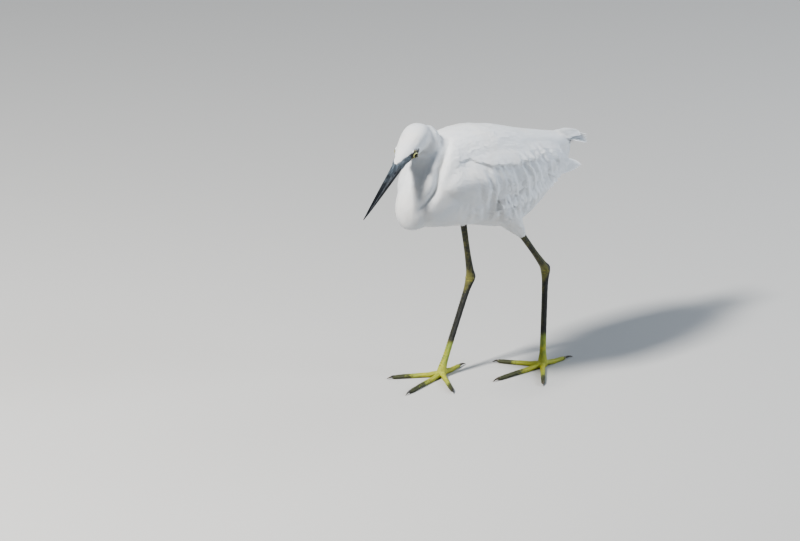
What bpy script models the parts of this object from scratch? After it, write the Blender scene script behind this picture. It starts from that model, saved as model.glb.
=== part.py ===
# A little egret in mid stride, life size, as a still museum model.
# The bird heads towards -Y, its left side is +X, and its soles rest on Z = 0.
# Sizes below are in millimetres and become metres as each mesh is made.
import math

import bmesh
import bpy
import numpy as np
from mathutils import Matrix

# Driving dimensions
MM = 0.001
GAP = 0.3               # left between two pieces that touch
WELD = 0.002            # points closer than this are one
BILL_LENGTH = 87.0      # along the culmen
BILL_DEPTH = 12.3       # at the feathers
BILL_WIDTH = 10.4       # at the feathers
BILL_START = 4.0        # where the horn leaves the face, ahead of the culmen's feathers
MOUTH_AT_BASE = -7.0    # height of the line between the mandibles
EYE_RADIUS = 5.0
EYE_BACK, EYE_SIDE, EYE_UP = 22.6, 9.0, -7.7    # from the culmen's feathers
LID_RADIUS, LID_THICK, LID_OUT = 4.5, 0.8, 3.0
TARSUS_RADIUS = 3.4
HOCK_RADIUS = 5.6
TOE_RADIUS = 2.9
KNUCKLE = 8.0           # height of the foot's knuckle over the floor
BODY_SQUARENESS = 2.5   # 2 is an ellipse, more is boxier

# Head: where the culmen meets the feathers, and the way that the bill points
CULMEN = np.array((12.0, -158.0, 287.0))
HEAD_YAW, HEAD_PITCH = math.radians(17.5), math.radians(28.5)
# Stations back from the culmen's feathers: distance, half width, top, bottom
HEAD = (
    (-4, 5.4, -0.2, -12.5),
    (2, 7.0, 0.6, -13.0),
    (9, 9.2, 1.8, -14.2),
    (20, 12.2, 3.6, -17.5),
    (32, 14.2, 5.6, -21.0),
    (44, 15.5, 6.5, -25.0),
    (54, 15.0, 5.0, -26.0),
    (62, 12.5, 0.0, -25.0),
    (67, 8.5, -6.0, -21.0),
    (70, 3.0, -11.0, -16.0),
)
# The mouth's line on the face: distance back, depth in from the middle, height, half its width
GAPE = ((-6, 3.5, MOUTH_AT_BASE, 0.55), (8, 6.5, -8.6, 0.5), (18, 9.5, -11.0, 0.45), (26, 12.6, -13.4, 0.15))
# A nostril's slit: distance ahead of the feathers, half its height
NOSTRIL = ((11, 0.2), (13, 0.6), (17, 0.7), (20, 0.2))
NOSTRIL_SIDE, NOSTRIL_UP = 3.9, -3.2
# Neck from the nape down to the breast: x, y, z and radius
NECK = (
    (-7, -97, 309, 4),
    (-6, -95, 304, 11.5),
    (-4, -94, 293, 17),
    (-4, -95, 278, 18.5),
    (-2, -106, 256, 20),
    (0, -114, 238, 22),
    (0, -118, 222, 23),
    (0, -119, 208, 19.5),
    (0, -118, 199.5, 12),
    (0, -117.5, 196, 4),
)
NECK_PARTING = 0.56     # share of the neck's stations over the parting between its two pieces
NECK_SLIT = 0.0015
# Torso from breast to vent: y, top, bottom, half width under the wings
TORSO = (
    (-131, 242, 222, 8),
    (-127, 256, 208, 20),
    (-118, 268, 200, 29),
    (-100, 284, 195, 37),
    (-80, 296, 191, 42),
    (-45, 299, 185, 46),
    (-15, 295, 175, 47),
    (20, 285, 170, 43),
    (55, 272, 183, 34),
    (85, 262, 201, 25),
    (108, 256, 215, 16),
    (120, 252, 228, 7),
)
# The bed that a folded wing's feathers lie on: y, height of its middle, half height, half width
BED = (
    (-112, 235, 40, 31),
    (-100, 239.5, 44.5, 37),
    (-80, 243.5, 52.5, 42),
    (-45, 242, 57, 46),
    (-15, 235, 60, 47),
    (20, 230, 57, 43),
    (55, 229, 46, 36),
    (85, 226, 38, 30.5),
    (108, 220, 32, 27),
    (124, 215, 30, 24),
)
# The wing's fleshy pad on its bed, from wrist to rear: y, top, bottom, thickness
PAD = ((-106, 262, 240, 3), (-98, 274, 235, 4.2), (-78, 286, 234, 5), (-30, 288, 235, 5), (15, 278, 236, 5),
       (48, 266, 236, 4.6), (76, 254, 238, 3.4), (84, 250, 241, 2.6))
PAD_SWELL = (0.6, 0.95, 1.0, 1.0, 0.85)    # shares of its thickness from top to bottom
PAD_DEPTH = 3.0         # how far the pad goes down under its bed, before the body is cut from it
QUILL_SHARES = (0.45, 0.82, 1.0, 0.92, 0.30)    # a quill's width from root to tip
PLUME_SHARES = (0.55, 0.95, 0.95, 0.32)         # a covert's
# Rows of vanes from the bed outwards: how many, the line of their roots and the line of their tips (y, z), width,
# its shares, and height over the bed at the root, at the middle and at the tip, for the first vane and for the last
WING_ROWS = (
    (5, ((22, 243), (40, 246), (56, 250)), ((88, 204), (111, 209), (121, 222)), 11.0, QUILL_SHARES,
     (2.2, 1.9, 1.5), (2.2, 1.9, 1.6)),
    (9, ((-66, 247), (-10, 247), (54, 246)), ((-62, 212), (12, 209), (91, 220)), 22.0, QUILL_SHARES,
     (2.3, 2.7, 3.3), (2.4, 4.8, 4.8)),
    (7, ((-80, 264), (-15, 263), (50, 256)), ((-74, 231), (6, 229), (86, 234)), 25.0, PLUME_SHARES,
     (2.2, 5.6, 6.2), (2.0, 7.6, 7.6)),
    (6, ((-82, 276), (-20, 274), (44, 262)), ((-72, 256), (2, 252), (82, 247)), 26.0, PLUME_SHARES,
     (2.0, 6.8, 7.4), (2.0, 7.2, 9.2)),
)
VANE_TILT = 0.66        # how far a vane's front edge dips and its rear edge rises, so that the next one fits under it
VANE_EDGE, SHAFT_OVER, SHAFT_UNDER = 0.52, 0.55, 0.36   # thickness of an edge, and the shaft's ridge over and under
# The tail's root from the rump back: y, height of its ridge, half width, drop of its edges, thickness
TAIL = ((98, 257, 10, 2, 12), (110, 256.5, 11.5, 3, 11), (120, 254.5, 11.5, 4, 9.5), (127, 252, 10, 4, 7.5), (131, 250, 7, 3, 5))
# Its quills: pairs, spacing at root and tip, width, step down from each pair to the next
QUILL_PAIRS, QUILL_SPACING, QUILL_WIDTH, QUILL_STEP = 5, (1.5, 2.9), 9.4, 0.95
QUILL_ROOT, QUILL_TIP = (115, 251.2), (151, 240.5)      # y and height of the middle pair's ends
QUILL_ARCH, QUILL_SHORTER = 2.2, 1.7    # rise of a quill's middle, and how much shorter each pair is
# Legs: the joints from the end of the thigh's feathers down, the thigh's stations x, y, z, radius,
# and the heading of each toe in degrees from straight ahead, positive to the bird's left
LEGS = {
    "left": {
        "side": 1,
        "hock": (30, 56, 115),
        "foot": (30, 52, KNUCKLE),
        "thigh": ((28, -16, 208, 17), (29, -3, 191, 15.5), (30, 8, 177, 11.5), (30, 15, 168, 8), (30, 21, 161, 5.2)),
        "toes": {"inner": -60, "middle": -4, "outer": 45, "hind": 178},
    },
    "right": {
        "side": -1,
        "hock": (-30, 0, 104),
        "foot": (-28, -47, KNUCKLE),
        "thigh": ((-26, -22, 208, 19), (-27, -19, 190, 14), (-28, -16, 176, 8), (-28, -14, 167, 5.0)),
        "toes": {"inner": 58, "middle": 12, "outer": -36, "hind": 190},
    },
}
# Toes: length, number of joints, claw length
TOES = {"inner": (48, 3, 9), "middle": (62, 4, 11), "outer": (52, 5, 9), "hind": (32, 2, 14)}

# Finishes: colour, roughness
FINISHES = {
    "plumage": ((0.86, 0.88, 0.90), 0.75),
    "horn": ((0.025, 0.028, 0.034), 0.35),
    "iris": ((0.75, 0.72, 0.32), 0.08),
    "shank": ((0.045, 0.045, 0.032), 0.55),
    "foot": ((0.62, 0.60, 0.07), 0.55),
    "claw": ((0.05, 0.045, 0.04), 0.4),
}


def curve_through(points, t):
    """Points of a smooth curve through the stations; t goes from 0 to 1."""
    p = np.asarray(points, float)
    spans = len(p) - 1
    place = np.clip(np.asarray(t, float), 0, 1) * spans
    i = np.minimum(place.astype(int), spans - 1)
    f = (place - i)[:, None]
    p0, p1 = p[np.maximum(i - 1, 0)], p[i]
    p2, p3 = p[i + 1], p[np.minimum(i + 2, spans)]
    slope, bend = 2 * p0 - 5 * p1 + 4 * p2 - p3, 3 * p1 - p0 - 3 * p2 + p3
    return 0.5 * (2 * p1 + (p2 - p0) * f + slope * f**2 + bend * f**3)


def unit(v):
    v = np.asarray(v, float)
    return v / np.linalg.norm(v)


def mesh_object(name, verts, faces):
    mesh = bpy.data.meshes.new(name)
    mesh.from_pydata([tuple(v) for v in np.asarray(verts, float) * MM], [], faces)
    bm = bmesh.new()
    bm.from_mesh(mesh)
    bmesh.ops.recalc_face_normals(bm, faces=bm.faces)
    bm.to_mesh(mesh)
    bm.free()
    obj = bpy.data.objects.new(name, mesh)
    bpy.context.scene.collection.objects.link(obj)
    return obj


def loft(name, rings, ends=None):
    """One closed solid through a row of rings, with a fan from a middle point on each end."""
    rings = np.asarray(rings, float)
    n, sides = rings.shape[:2]
    ends = ends if ends is not None else (rings[0].mean(0), rings[-1].mean(0))
    verts = list(rings.reshape(-1, 3)) + list(ends)
    faces = []
    for i in range(n - 1):
        for k in range(sides):
            a, b = i * sides + k, i * sides + (k + 1) % sides
            faces += [(a, b, b + sides), (a, b + sides, a + sides)]
    last = (n - 1) * sides
    for k in range(sides):
        faces.append((n * sides, (k + 1) % sides, k))
        faces.append((n * sides + 1, last + k, last + (k + 1) % sides))
    return mesh_object(name, verts, faces)


def turns(count):
    return np.arange(count) * 2 * math.pi / count


def superellipse(sides, squareness):
    c, s = np.cos(turns(sides)), np.sin(turns(sides))
    power = 2 / squareness
    return np.sign(c) * abs(c) ** power, np.sign(s) * abs(s) ** power


def tube(name, stations, sides=12, rings=10, span=(0, 1), grow=0.0, swell=None):
    """A round limb along x, y, z, radius stations; swell scales the radius along it."""
    t = np.linspace(span[0], span[1], rings)
    spots = curve_through(stations, t)
    ahead = curve_through(stations, t + 0.01)[:, :3] - curve_through(stations, t - 0.01)[:, :3]
    reach = spots[-1, :3] - spots[0, :3]
    steady = (0, 0, 1) if abs(reach[2]) < 0.3 * np.linalg.norm(reach) else (1, 0, 0)
    made = []
    for i, (spot, way) in enumerate(zip(spots, ahead)):
        way = unit(way)
        side = unit(np.cross(way, steady))
        radius = spot[3] * (swell(t[i]) if swell else 1) + grow
        ring = np.outer(np.cos(turns(sides)), side) + np.outer(np.sin(turns(sides)), np.cross(way, side))
        past_end = grow * ((i == rings - 1) - (i == 0))
        made.append(spot[:3] + ring * radius + way * past_end)
    return loft(name, made)


def ball(name, centre, radius, segments=12, rings=8):
    made = []
    for angle in np.linspace(0, math.pi, rings + 1)[1:-1]:
        level = np.full(segments, math.cos(angle))
        ring = np.stack([np.cos(turns(segments)) * math.sin(angle), level, np.sin(turns(segments)) * math.sin(angle)], 1)
        made.append(centre + ring * radius)
    pole = np.array((0, radius, 0))
    return loft(name, made, (centre + pole, centre - pole))


def discard(objects):
    for obj in objects:
        bpy.data.objects.remove(obj)


def boolean(target, other, operation, solver="EXACT"):
    """Applies one Boolean by an object or by a collection of closed meshes."""
    modifier = target.modifiers.new("cut", "BOOLEAN")
    modifier.operation = operation
    modifier.solver = solver
    if isinstance(other, bpy.types.Collection):
        modifier.operand_type = "COLLECTION"
        modifier.collection = other
    else:
        modifier.object = other
    graph = bpy.context.evaluated_depsgraph_get()
    mesh = bpy.data.meshes.new_from_object(target.evaluated_get(graph))
    target.modifiers.clear()
    target.data = mesh


def islands(bm):
    left = set(bm.verts)
    while left:
        stack = [left.pop()]
        island = list(stack)
        while stack:
            for edge in stack.pop().link_edges:
                for vert in edge.verts:
                    if vert in left:
                        left.remove(vert)
                        stack.append(vert)
                        island.append(vert)
        yield island


def keep_largest(obj):
    """Only a node's largest closed surface stays."""
    bm = bmesh.new()
    bm.from_mesh(obj.data)
    bmesh.ops.triangulate(bm, faces=bm.faces)
    bmesh.ops.remove_doubles(bm, verts=bm.verts, dist=WELD * MM)
    bmesh.ops.dissolve_degenerate(bm, edges=bm.edges, dist=WELD * MM)
    kept = set(max(islands(bm), key=lambda island: np.ptp([v.co for v in island], axis=0).prod()))
    bmesh.ops.delete(bm, geom=[v for v in bm.verts if v not in kept], context="VERTS")
    bm.to_mesh(obj.data)
    bm.free()


def carve(obj, cutters, solver="EXACT"):
    for cutter in cutters:
        boolean(obj, cutter, "DIFFERENCE", solver)
    keep_largest(obj)


def fuse(obj, pieces, solver="EXACT"):
    """One union of a node with its own pieces, whose collection then goes."""
    group = bpy.data.collections.new("pieces")
    bpy.context.scene.collection.children.link(group)
    for piece in pieces:
        bpy.context.scene.collection.objects.unlink(piece)
        group.objects.link(piece)
    boolean(obj, group, "UNION", solver)
    discard(pieces)
    bpy.data.collections.remove(group)
    keep_largest(obj)


def finish(obj, finish_name):
    """Gives a node its material and smooth shading."""
    if finish_name not in bpy.data.materials:
        colour, roughness = FINISHES[finish_name]
        material = bpy.data.materials.new(finish_name)
        material.use_nodes = True
        shader = material.node_tree.nodes["Principled BSDF"]
        shader.inputs["Base Color"].default_value = (*colour, 1)
        shader.inputs["Roughness"].default_value = roughness
        shader.inputs["Metallic"].default_value = 0
    obj.data.materials.clear()
    obj.data.materials.append(bpy.data.materials[finish_name])
    obj.data.shade_smooth()
    obj.data.set_sharp_from_angle(angle=math.radians(50))


def head_axes():
    """The head's forward, left and up directions."""
    forward = np.array((
        math.sin(HEAD_YAW) * math.cos(HEAD_PITCH),
        -math.cos(HEAD_YAW) * math.cos(HEAD_PITCH),
        -math.sin(HEAD_PITCH),
    ))
    left = np.array((math.cos(HEAD_YAW), math.sin(HEAD_YAW), 0))
    return forward, left, np.cross(left, forward) * -1


def on_head(back, left, up):
    forward, side, over = head_axes()
    return CULMEN - back * forward + left * side + up * over


def head_solid(name, grow=0.0):
    across, rise = superellipse(22, 2.15)
    made = []
    for back, wide, top, bottom in curve_through(HEAD, np.linspace(0, 1, 19)):
        middle, tall = (top + bottom) / 2, (top - bottom) / 2 + grow
        made.append([on_head(back, a * (wide + grow), middle + r * tall) for a, r in zip(across, rise)])
    return loft(name, made)


def lid_ring(side):
    """The fleshy rim round an eye: a ring of small sections, joined end to end."""
    _, left, _ = head_axes()
    centre = on_head(EYE_BACK, side * (EYE_SIDE + LID_OUT), EYE_UP)
    count, sides, verts, faces = 14, 6, [], []
    for turn in turns(count):
        place = on_head(
            EYE_BACK - math.cos(turn) * LID_RADIUS * 1.08,
            side * (EYE_SIDE + LID_OUT),
            EYE_UP + math.sin(turn) * LID_RADIUS,
        )
        away = unit(place - centre)
        for small in turns(sides):
            verts.append(place + (away * math.cos(small) + left * side * math.sin(small) * 1.3) * LID_THICK)
    for i in range(count):
        j = (i + 1) % count
        for k in range(sides):
            m = (k + 1) % sides
            a, b, c, d = i * sides + k, i * sides + m, j * sides + m, j * sides + k
            faces += [(a, b, c), (a, c, d)]
    return mesh_object("lid", verts, faces)


def gape_groove(side):
    """A thin wedge that cuts the mouth's line into the face, back to below the eye."""
    made = []
    for back, inner, height, half in GAPE:
        made.append([
            on_head(back, side * inner, height + half),
            on_head(back, side * (inner + 9), height + half),
            on_head(back, side * (inner + 9), height - half),
            on_head(back, side * inner, height - half),
        ])
    return loft("groove", made)


def make_head():
    head = head_solid("head")
    fuse(head, [lid_ring(1), lid_ring(-1)])
    for name, side in (("eye_left", 1), ("eye_right", -1)):
        place = on_head(EYE_BACK, side * EYE_SIDE, EYE_UP)
        cutters = [gape_groove(side), ball("socket", place, EYE_RADIUS + GAP)]
        carve(head, cutters)
        discard(cutters)
        finish(ball(name, place, EYE_RADIUS), "iris")
    finish(head, "plumage")


def nostril_slit(side):
    made = []
    for along, half in NOSTRIL:
        made.append([on_head(-along, side * (NOSTRIL_SIDE + out), NOSTRIL_UP + up * half)
                     for out, up in ((1.6, 1), (-1.0, 1), (-1.0, -1), (1.6, -1))])
    return loft("slit", made)


def make_bill():
    """Two long tapering mandibles that meet along the mouth."""
    for name, way, depth in (("bill_upper", 1, -MOUTH_AT_BASE), ("bill_lower", -1, BILL_DEPTH + MOUTH_AT_BASE)):
        start, reach = BILL_START + GAP, BILL_LENGTH if way > 0 else BILL_LENGTH - 1.5
        made = []
        for t in np.linspace(0, 1, 9):
            taper = (1 - t) ** 0.85
            mouth = MOUTH_AT_BASE * (1 - t) ** 0.9 - 0.9 * t
            wide = (BILL_WIDTH / 2 - 0.35) * taper + 0.35
            tall = (depth - 0.4) * taper + 0.35
            ring = []
            for turn in np.linspace(0, math.pi, 8):
                rise = math.sin(turn) ** 0.85 * tall + GAP / 2
                ring.append(on_head(-start - (reach - start) * t, math.cos(turn) * wide, mouth + way * rise))
            made.append(ring)
        mandible = loft(name, made)
        if way > 0:
            slits = [nostril_slit(1), nostril_slit(-1)]
            carve(mandible, slits)
            discard(slits)
        finish(mandible, "horn")


def torso_solid(name, grow=0.0):
    across, rise = superellipse(26, BODY_SQUARENESS)
    made = []
    for y, top, bottom, wide in curve_through(TORSO, np.linspace(0, 1, 23)):
        middle, tall = (top + bottom) / 2, (top - bottom) / 2 + grow
        made.append([(a * (wide + grow), y, middle + r * tall) for a, r in zip(across, rise)])
    made[0] = [(x, y - grow, z) for x, y, z in made[0]]
    made[-1] = [(x, y + grow, z) for x, y, z in made[-1]]
    return loft(name, made)


def neck_pieces(names, grow=0.0):
    """The neck above and below its parting."""
    spans = ((0, NECK_PARTING - NECK_SLIT), (NECK_PARTING + NECK_SLIT, 1))
    return [tube(name, NECK, 18, 14, span, grow) for name, span in zip(names, spans)]


def thigh_solid(name, leg, grow=0.0):
    return tube(name, leg["thigh"], 16, 9, grow=grow)


BED_CURVE = curve_through(BED, np.linspace(0, 1, 80)).T


def on_bed(side, y, z, height):
    """A place over a wing's bed, and the way out from the body there."""
    middle, tall, wide = (np.interp(y, BED_CURVE[0], values) for values in BED_CURVE[1:])
    level = np.clip((z - middle) / tall, -0.96, 0.96)
    x = (1 - abs(level) ** BODY_SQUARENESS) ** (1 / BODY_SQUARENESS)
    out = unit((x ** (BODY_SQUARENESS - 1) / wide, 0, np.sign(level) * abs(level) ** (BODY_SQUARENESS - 1) / tall))
    spot = np.array((x * wide, y, z)) + out * height
    return spot * (side, 1, 1), out * (side, 1, 1)


def vane_solid(name, sections):
    """A feather from sections of front edge, shaft and rear edge, each with its way out."""
    verts, faces = [], []
    for spots, out, share in sections:
        lifts = (VANE_EDGE / 2, SHAFT_OVER, VANE_EDGE / 2)
        dips = (VANE_EDGE / 2, SHAFT_UNDER, VANE_EDGE / 2)
        verts += [spot + out * lift * share for spot, lift in zip(spots, lifts)]
        verts += [spot - out * dip * share for spot, dip in zip(spots, dips)]
    for i in range(len(sections) - 1):
        a, b = i * 6, i * 6 + 6
        for k in (0, 1):
            faces += [(a + k, a + k + 1, b + k + 1), (a + k, b + k + 1, b + k)]
            faces += [(a + k + 3, b + k + 4, a + k + 4), (a + k + 3, b + k + 3, b + k + 4)]
        faces += [(a, b, b + 3), (a, b + 3, a + 3), (a + 2, a + 5, b + 5), (a + 2, b + 5, b + 2)]
    for a in (0, (len(sections) - 1) * 6):
        faces += [(a, a + 3, a + 4), (a, a + 4, a + 1), (a + 1, a + 4, a + 5), (a + 1, a + 5, a + 2)]
    return mesh_object(name, verts, faces)


def wing_vane(side, root, tip, width, shares, heights):
    """A vane over the wing's bed from its root to its tip, both given as y and z."""
    way = unit(np.subtract(tip, root))
    front = np.array((way[1], -way[0]))
    sections = []
    for t, share in zip(np.linspace(0, 1, len(shares)), shares):
        middle = np.array(root) + (np.array(tip) - root) * t
        height = np.interp(t, (0, 0.5, 1), heights)
        spots = []
        for reach in (1, 0, -1):
            y, z = middle + front * reach * share * width / 2
            spot, out = on_bed(side, y, z, height - reach * share * VANE_TILT)
            spots.append(spot)
        _, out = on_bed(side, *middle, height)
        sections.append((spots, out, 1.0 if t < 1 else 0.7))
    return vane_solid("vane", sections)


def wing_pad(name, side):
    """The wing's flesh, which the vanes are rooted in."""
    made = []
    for y, top, bottom, thick in curve_through(PAD, np.linspace(0, 1, 13)):
        heights = np.linspace(top, bottom, len(PAD_SWELL))
        outer = [on_bed(side, y, z, thick * share)[0] for z, share in zip(heights, PAD_SWELL)]
        inner = [on_bed(side, y, z, -PAD_DEPTH)[0] for z in heights[::-1]]
        made.append(outer + inner)
    return loft(name, made)


def make_wing(name, side, cutters):
    """The folded wing: primaries, secondaries, coverts and scapulars on their pad."""
    wing = wing_pad(name, side)
    vanes = []
    for count, roots, tips, width, shares, first, last in WING_ROWS:
        places = (np.arange(count) + 0.5) / count
        for place, root, tip in zip(places, curve_through(roots, places), curve_through(tips, places)):
            heights = np.array(first) + (np.array(last) - first) * place
            vanes.append(wing_vane(side, root, tip, width, shares, heights))
    fuse(wing, vanes, "MANIFOLD")
    carve(wing, cutters, "MANIFOLD")
    finish(wing, "plumage")


def tail_root(name):
    made = []
    for y, ridge, wide, drop, thick in curve_through(TAIL, np.linspace(0, 1, 5)):
        levels = np.linspace(-1, 1, 5)
        over = [(u * wide, y, ridge - drop * u * u) for u in levels]
        under = [(u * wide, y, ridge - drop * u * u - thick * (1 - 0.5 * u * u)) for u in levels[-2:0:-1]]
        made.append(over + under)
    return loft(name, made)


def tail_quill(side, pair):
    """One of a pair of tail feathers; the middle left one lies over its fellow."""
    lift = QUILL_STEP * ((pair == 0 and side > 0) - pair)
    root = np.array((side * QUILL_SPACING[0] * (pair + 0.5), QUILL_ROOT[0], QUILL_ROOT[1] + lift))
    tip = np.array((side * QUILL_SPACING[1] * (pair + 0.5), QUILL_TIP[0] - QUILL_SHORTER * pair, QUILL_TIP[1] + lift))
    aside, out = unit((1, 0, 0)), unit((0, 0.25, 1))
    sections = []
    for t, share in zip(np.linspace(0, 1, len(QUILL_SHARES)), QUILL_SHARES):
        middle = root + (tip - root) * t + (0, 0, QUILL_ARCH * math.sin(math.pi * t))
        spots = [middle + aside * reach * share * QUILL_WIDTH / 2 for reach in (-1, 0, 1)]
        sections.append((spots, out, 1.0 if t < 1 else 0.7))
    return vane_solid("quill", sections)


def make_tail(cutters):
    tail = tail_root("tail")
    fuse(tail, [tail_quill(side, pair) for pair in range(QUILL_PAIRS) for side in (1, -1)], "MANIFOLD")
    carve(tail, cutters, "MANIFOLD")
    finish(tail, "plumage")


def heading_axes(heading):
    """Ahead and to the left of a toe that lies on the floor."""
    return np.array((math.sin(heading), -math.cos(heading), 0)), np.array((math.cos(heading), math.sin(heading), 0))


def rest_on_floor(obj):
    """Whatever would pass the floor rests on it as a small flat."""
    for vert in obj.data.vertices:
        if vert.co.z < WELD * MM * 50:
            vert.co.z = 0


def claw_solid(name, base, heading, radius, length):
    """A curved tapering claw; its root face meets the toe's end."""
    ahead, side = heading_axes(heading)
    made = []
    for t in np.linspace(0, 1, 6):
        arch = 0.5 * radius * math.sin(math.pi * t) - 0.9 * radius * t * t
        centre = base + ahead * length * t + (0, 0, arch)
        r = radius * (1 - t) ** 0.8 + 0.25
        made.append([centre + side * math.cos(a) * r * 0.8 + (0, 0, math.sin(a) * r) for a in turns(6)])
    return loft(name, made)


def foot_solid(name, foot, to_foot, grow=0.0):
    """The knuckle where the toes spread, with its flat sole."""
    sole = np.array((foot[0], foot[1], 0.0))
    stations = [(*(foot - to_foot * 3.5), 3.0), (*(foot - (0, 0, 0.5)), 5.2), (*(sole + (0, 0, 3.2)), 6.9), (*sole, 5.0)]
    return tube(name, stations, 12, 7, grow=grow)


def make_toe(name, foot, heading, length, joints, claw_length, knuckle):
    ahead, _ = heading_axes(heading)
    floor = np.array((foot[0], foot[1], 0.0))
    rise = TOE_RADIUS * 0.9
    stations = [
        (*(floor + ahead * 3.0 + (0, 0, rise + 0.8)), TOE_RADIUS * 0.8),
        (*(floor + ahead * 14.0 + (0, 0, rise + 0.1)), TOE_RADIUS),
        (*(floor + ahead * length * 0.6 + (0, 0, rise)), TOE_RADIUS * 0.93),
        (*(floor + ahead * length + (0, 0, rise - 0.4)), TOE_RADIUS * 0.78),
    ]
    toe = tube(f"toe_{name}", stations, 8, 3 * joints + 2, swell=lambda t: 1 + 0.09 * math.cos(2 * math.pi * t * joints))
    rest_on_floor(toe)
    carve(toe, [knuckle])
    finish(toe, "foot")
    base = floor + ahead * (length + GAP) + (0, 0, rise - 0.4)
    claw = claw_solid(f"claw_{name}", base, heading, TOE_RADIUS * 0.62, claw_length)
    rest_on_floor(claw)
    finish(claw, "claw")


def make_leg(name, leg, body_cutter):
    hock, foot = np.array(leg["hock"], float), np.array(leg["foot"], float)
    thigh = thigh_solid(f"thigh_{name}", leg)
    carve(thigh, [body_cutter])
    finish(thigh, "plumage")
    # The bare shin carries the hock's ball
    end = np.array(leg["thigh"][-1][:3], float) + unit(hock - leg["thigh"][-1][:3]) * GAP * 1.5
    shares = ((0, 3.7), (0.45, 3.4), (0.82, 4.0), (1, HOCK_RADIUS))
    shin_path = [(*(end + (hock - end) * share), radius) for share, radius in shares]
    shin = tube(f"shin_{name}", shin_path, 12, 7)
    fuse(shin, [ball("hock", hock, HOCK_RADIUS)])
    thigh_cutter = thigh_solid("thigh_cutter", leg, GAP)
    carve(shin, [thigh_cutter])
    finish(shin, "shank")
    # The shank hangs from the ball down to the knuckle
    to_foot = unit(foot - hock)
    top, low = hock + to_foot * (HOCK_RADIUS - 1.2), foot - to_foot * 2.0
    shares = ((0, 4.9), (0.12, TARSUS_RADIUS + 0.5), (0.5, TARSUS_RADIUS), (0.85, TARSUS_RADIUS + 0.3), (1, 4.4))
    shank = tube(f"shank_{name}", [(*(top + (low - top) * share), radius) for share, radius in shares], 12, 11)
    knuckle = foot_solid("knuckle_cutter", foot, to_foot, GAP)
    hock_cutters = [ball("hock_cutter", hock, HOCK_RADIUS + GAP), tube("shin_cutter", shin_path, 12, 7, grow=GAP)]
    carve(shank, [*hock_cutters, knuckle])
    finish(shank, "shank")
    pad = foot_solid(f"foot_{name}", foot, to_foot)
    rest_on_floor(pad)
    finish(pad, "foot")
    for toe_name, degrees in leg["toes"].items():
        make_toe(f"{toe_name}_{name}", foot, math.radians(degrees), *TOES[toe_name], knuckle)
    discard([thigh_cutter, knuckle, *hock_cutters])


def stand_on_origin():
    """Moves the whole bird so that its box stands centred on the origin."""
    spots = np.array([v.co for obj in bpy.data.objects for v in obj.data.vertices])
    middle = (spots.min(0) + spots.max(0)) / 2
    for obj in bpy.data.objects:
        obj.data.transform(Matrix.Translation((-middle[0], -middle[1], 0)))


def main():
    for obj in list(bpy.data.objects):
        bpy.data.objects.remove(obj)
    make_head()
    make_bill()
    head_cutter = head_solid("head_cutter", GAP)
    neck_cutters = neck_pieces(("upper_cutter", "lower_cutter"), GAP)
    body_cutter = torso_solid("torso_cutter", GAP)
    torso = torso_solid("torso")
    carve(torso, neck_cutters)
    finish(torso, "plumage")
    upper, lower = neck_pieces(("neck_upper", "neck_lower"))
    carve(upper, [head_cutter])
    finish(upper, "plumage")
    finish(lower, "plumage")
    for name, leg in LEGS.items():
        make_leg(name, leg, body_cutter)
        thigh_cutter = thigh_solid("thigh_cutter", leg, GAP)
        make_wing(f"wing_{name}", leg["side"], [body_cutter, *neck_cutters, thigh_cutter])
        discard([thigh_cutter])
    make_tail([body_cutter])
    discard([head_cutter, body_cutter, *neck_cutters])
    stand_on_origin()


main()
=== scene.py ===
import itertools
import math

import bpy
import numpy as np
from mathutils import Matrix, Vector, noise
from mathutils.bvhtree import BVHTree


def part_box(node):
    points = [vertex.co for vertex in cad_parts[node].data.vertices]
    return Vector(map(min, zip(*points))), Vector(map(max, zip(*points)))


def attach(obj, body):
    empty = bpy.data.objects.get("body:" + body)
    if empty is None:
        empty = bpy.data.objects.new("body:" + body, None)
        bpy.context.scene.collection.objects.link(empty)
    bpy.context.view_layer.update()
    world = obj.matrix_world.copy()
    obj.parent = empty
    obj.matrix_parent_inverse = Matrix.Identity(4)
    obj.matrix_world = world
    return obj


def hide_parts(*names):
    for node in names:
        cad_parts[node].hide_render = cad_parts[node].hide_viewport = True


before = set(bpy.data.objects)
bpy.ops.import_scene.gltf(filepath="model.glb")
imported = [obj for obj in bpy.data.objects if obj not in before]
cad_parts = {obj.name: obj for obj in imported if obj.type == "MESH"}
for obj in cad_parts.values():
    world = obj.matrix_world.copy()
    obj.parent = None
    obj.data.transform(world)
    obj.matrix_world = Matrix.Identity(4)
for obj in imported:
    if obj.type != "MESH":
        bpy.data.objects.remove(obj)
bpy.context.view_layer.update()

# The bird's own sizes are in millimetres, measured from a point on the floor under its hips.
# It heads towards -Y and its left side is +X, as in the frame.
mm = 0.001
rng = np.random.default_rng(41)
footLow, footHigh = (np.array(corner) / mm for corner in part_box("foot_left"))
leftFoot = np.array((30.0, 52.0, 0.0))
toFrame = (footLow + footHigh) / 2 - leftFoot
toFrame[2] = 0.0


# Small helpers for points and curves

def unit(v):
    v = np.asarray(v, float)
    return v / np.maximum(np.linalg.norm(v, axis=-1, keepdims=True), 1e-9)


def curveThrough(stations, t):
    p = np.asarray(stations, float)
    spans = len(p) - 1
    place = np.clip(np.asarray(t, float), 0, 1) * spans
    i = np.minimum(place.astype(int), spans - 1)
    f = (place - i)[:, None]
    p0, p1 = p[np.maximum(i - 1, 0)], p[i]
    p2, p3 = p[i + 1], p[np.minimum(i + 2, spans)]
    slope, bend = 2 * p0 - 5 * p1 + 4 * p2 - p3, 3 * p1 - p0 - 3 * p2 + p3
    return 0.5 * (2 * p1 + (p2 - p0) * f + slope * f**2 + bend * f**3)


def smooth(value, low, high):
    t = np.clip((value - low) / (high - low), 0, 1)
    return t * t * (3 - 2 * t)


def across(a, b, t):
    return a + (b - a) * t


def turns(sides):  # even angles once round
    return np.arange(sides) * 2 * math.pi / sides


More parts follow.
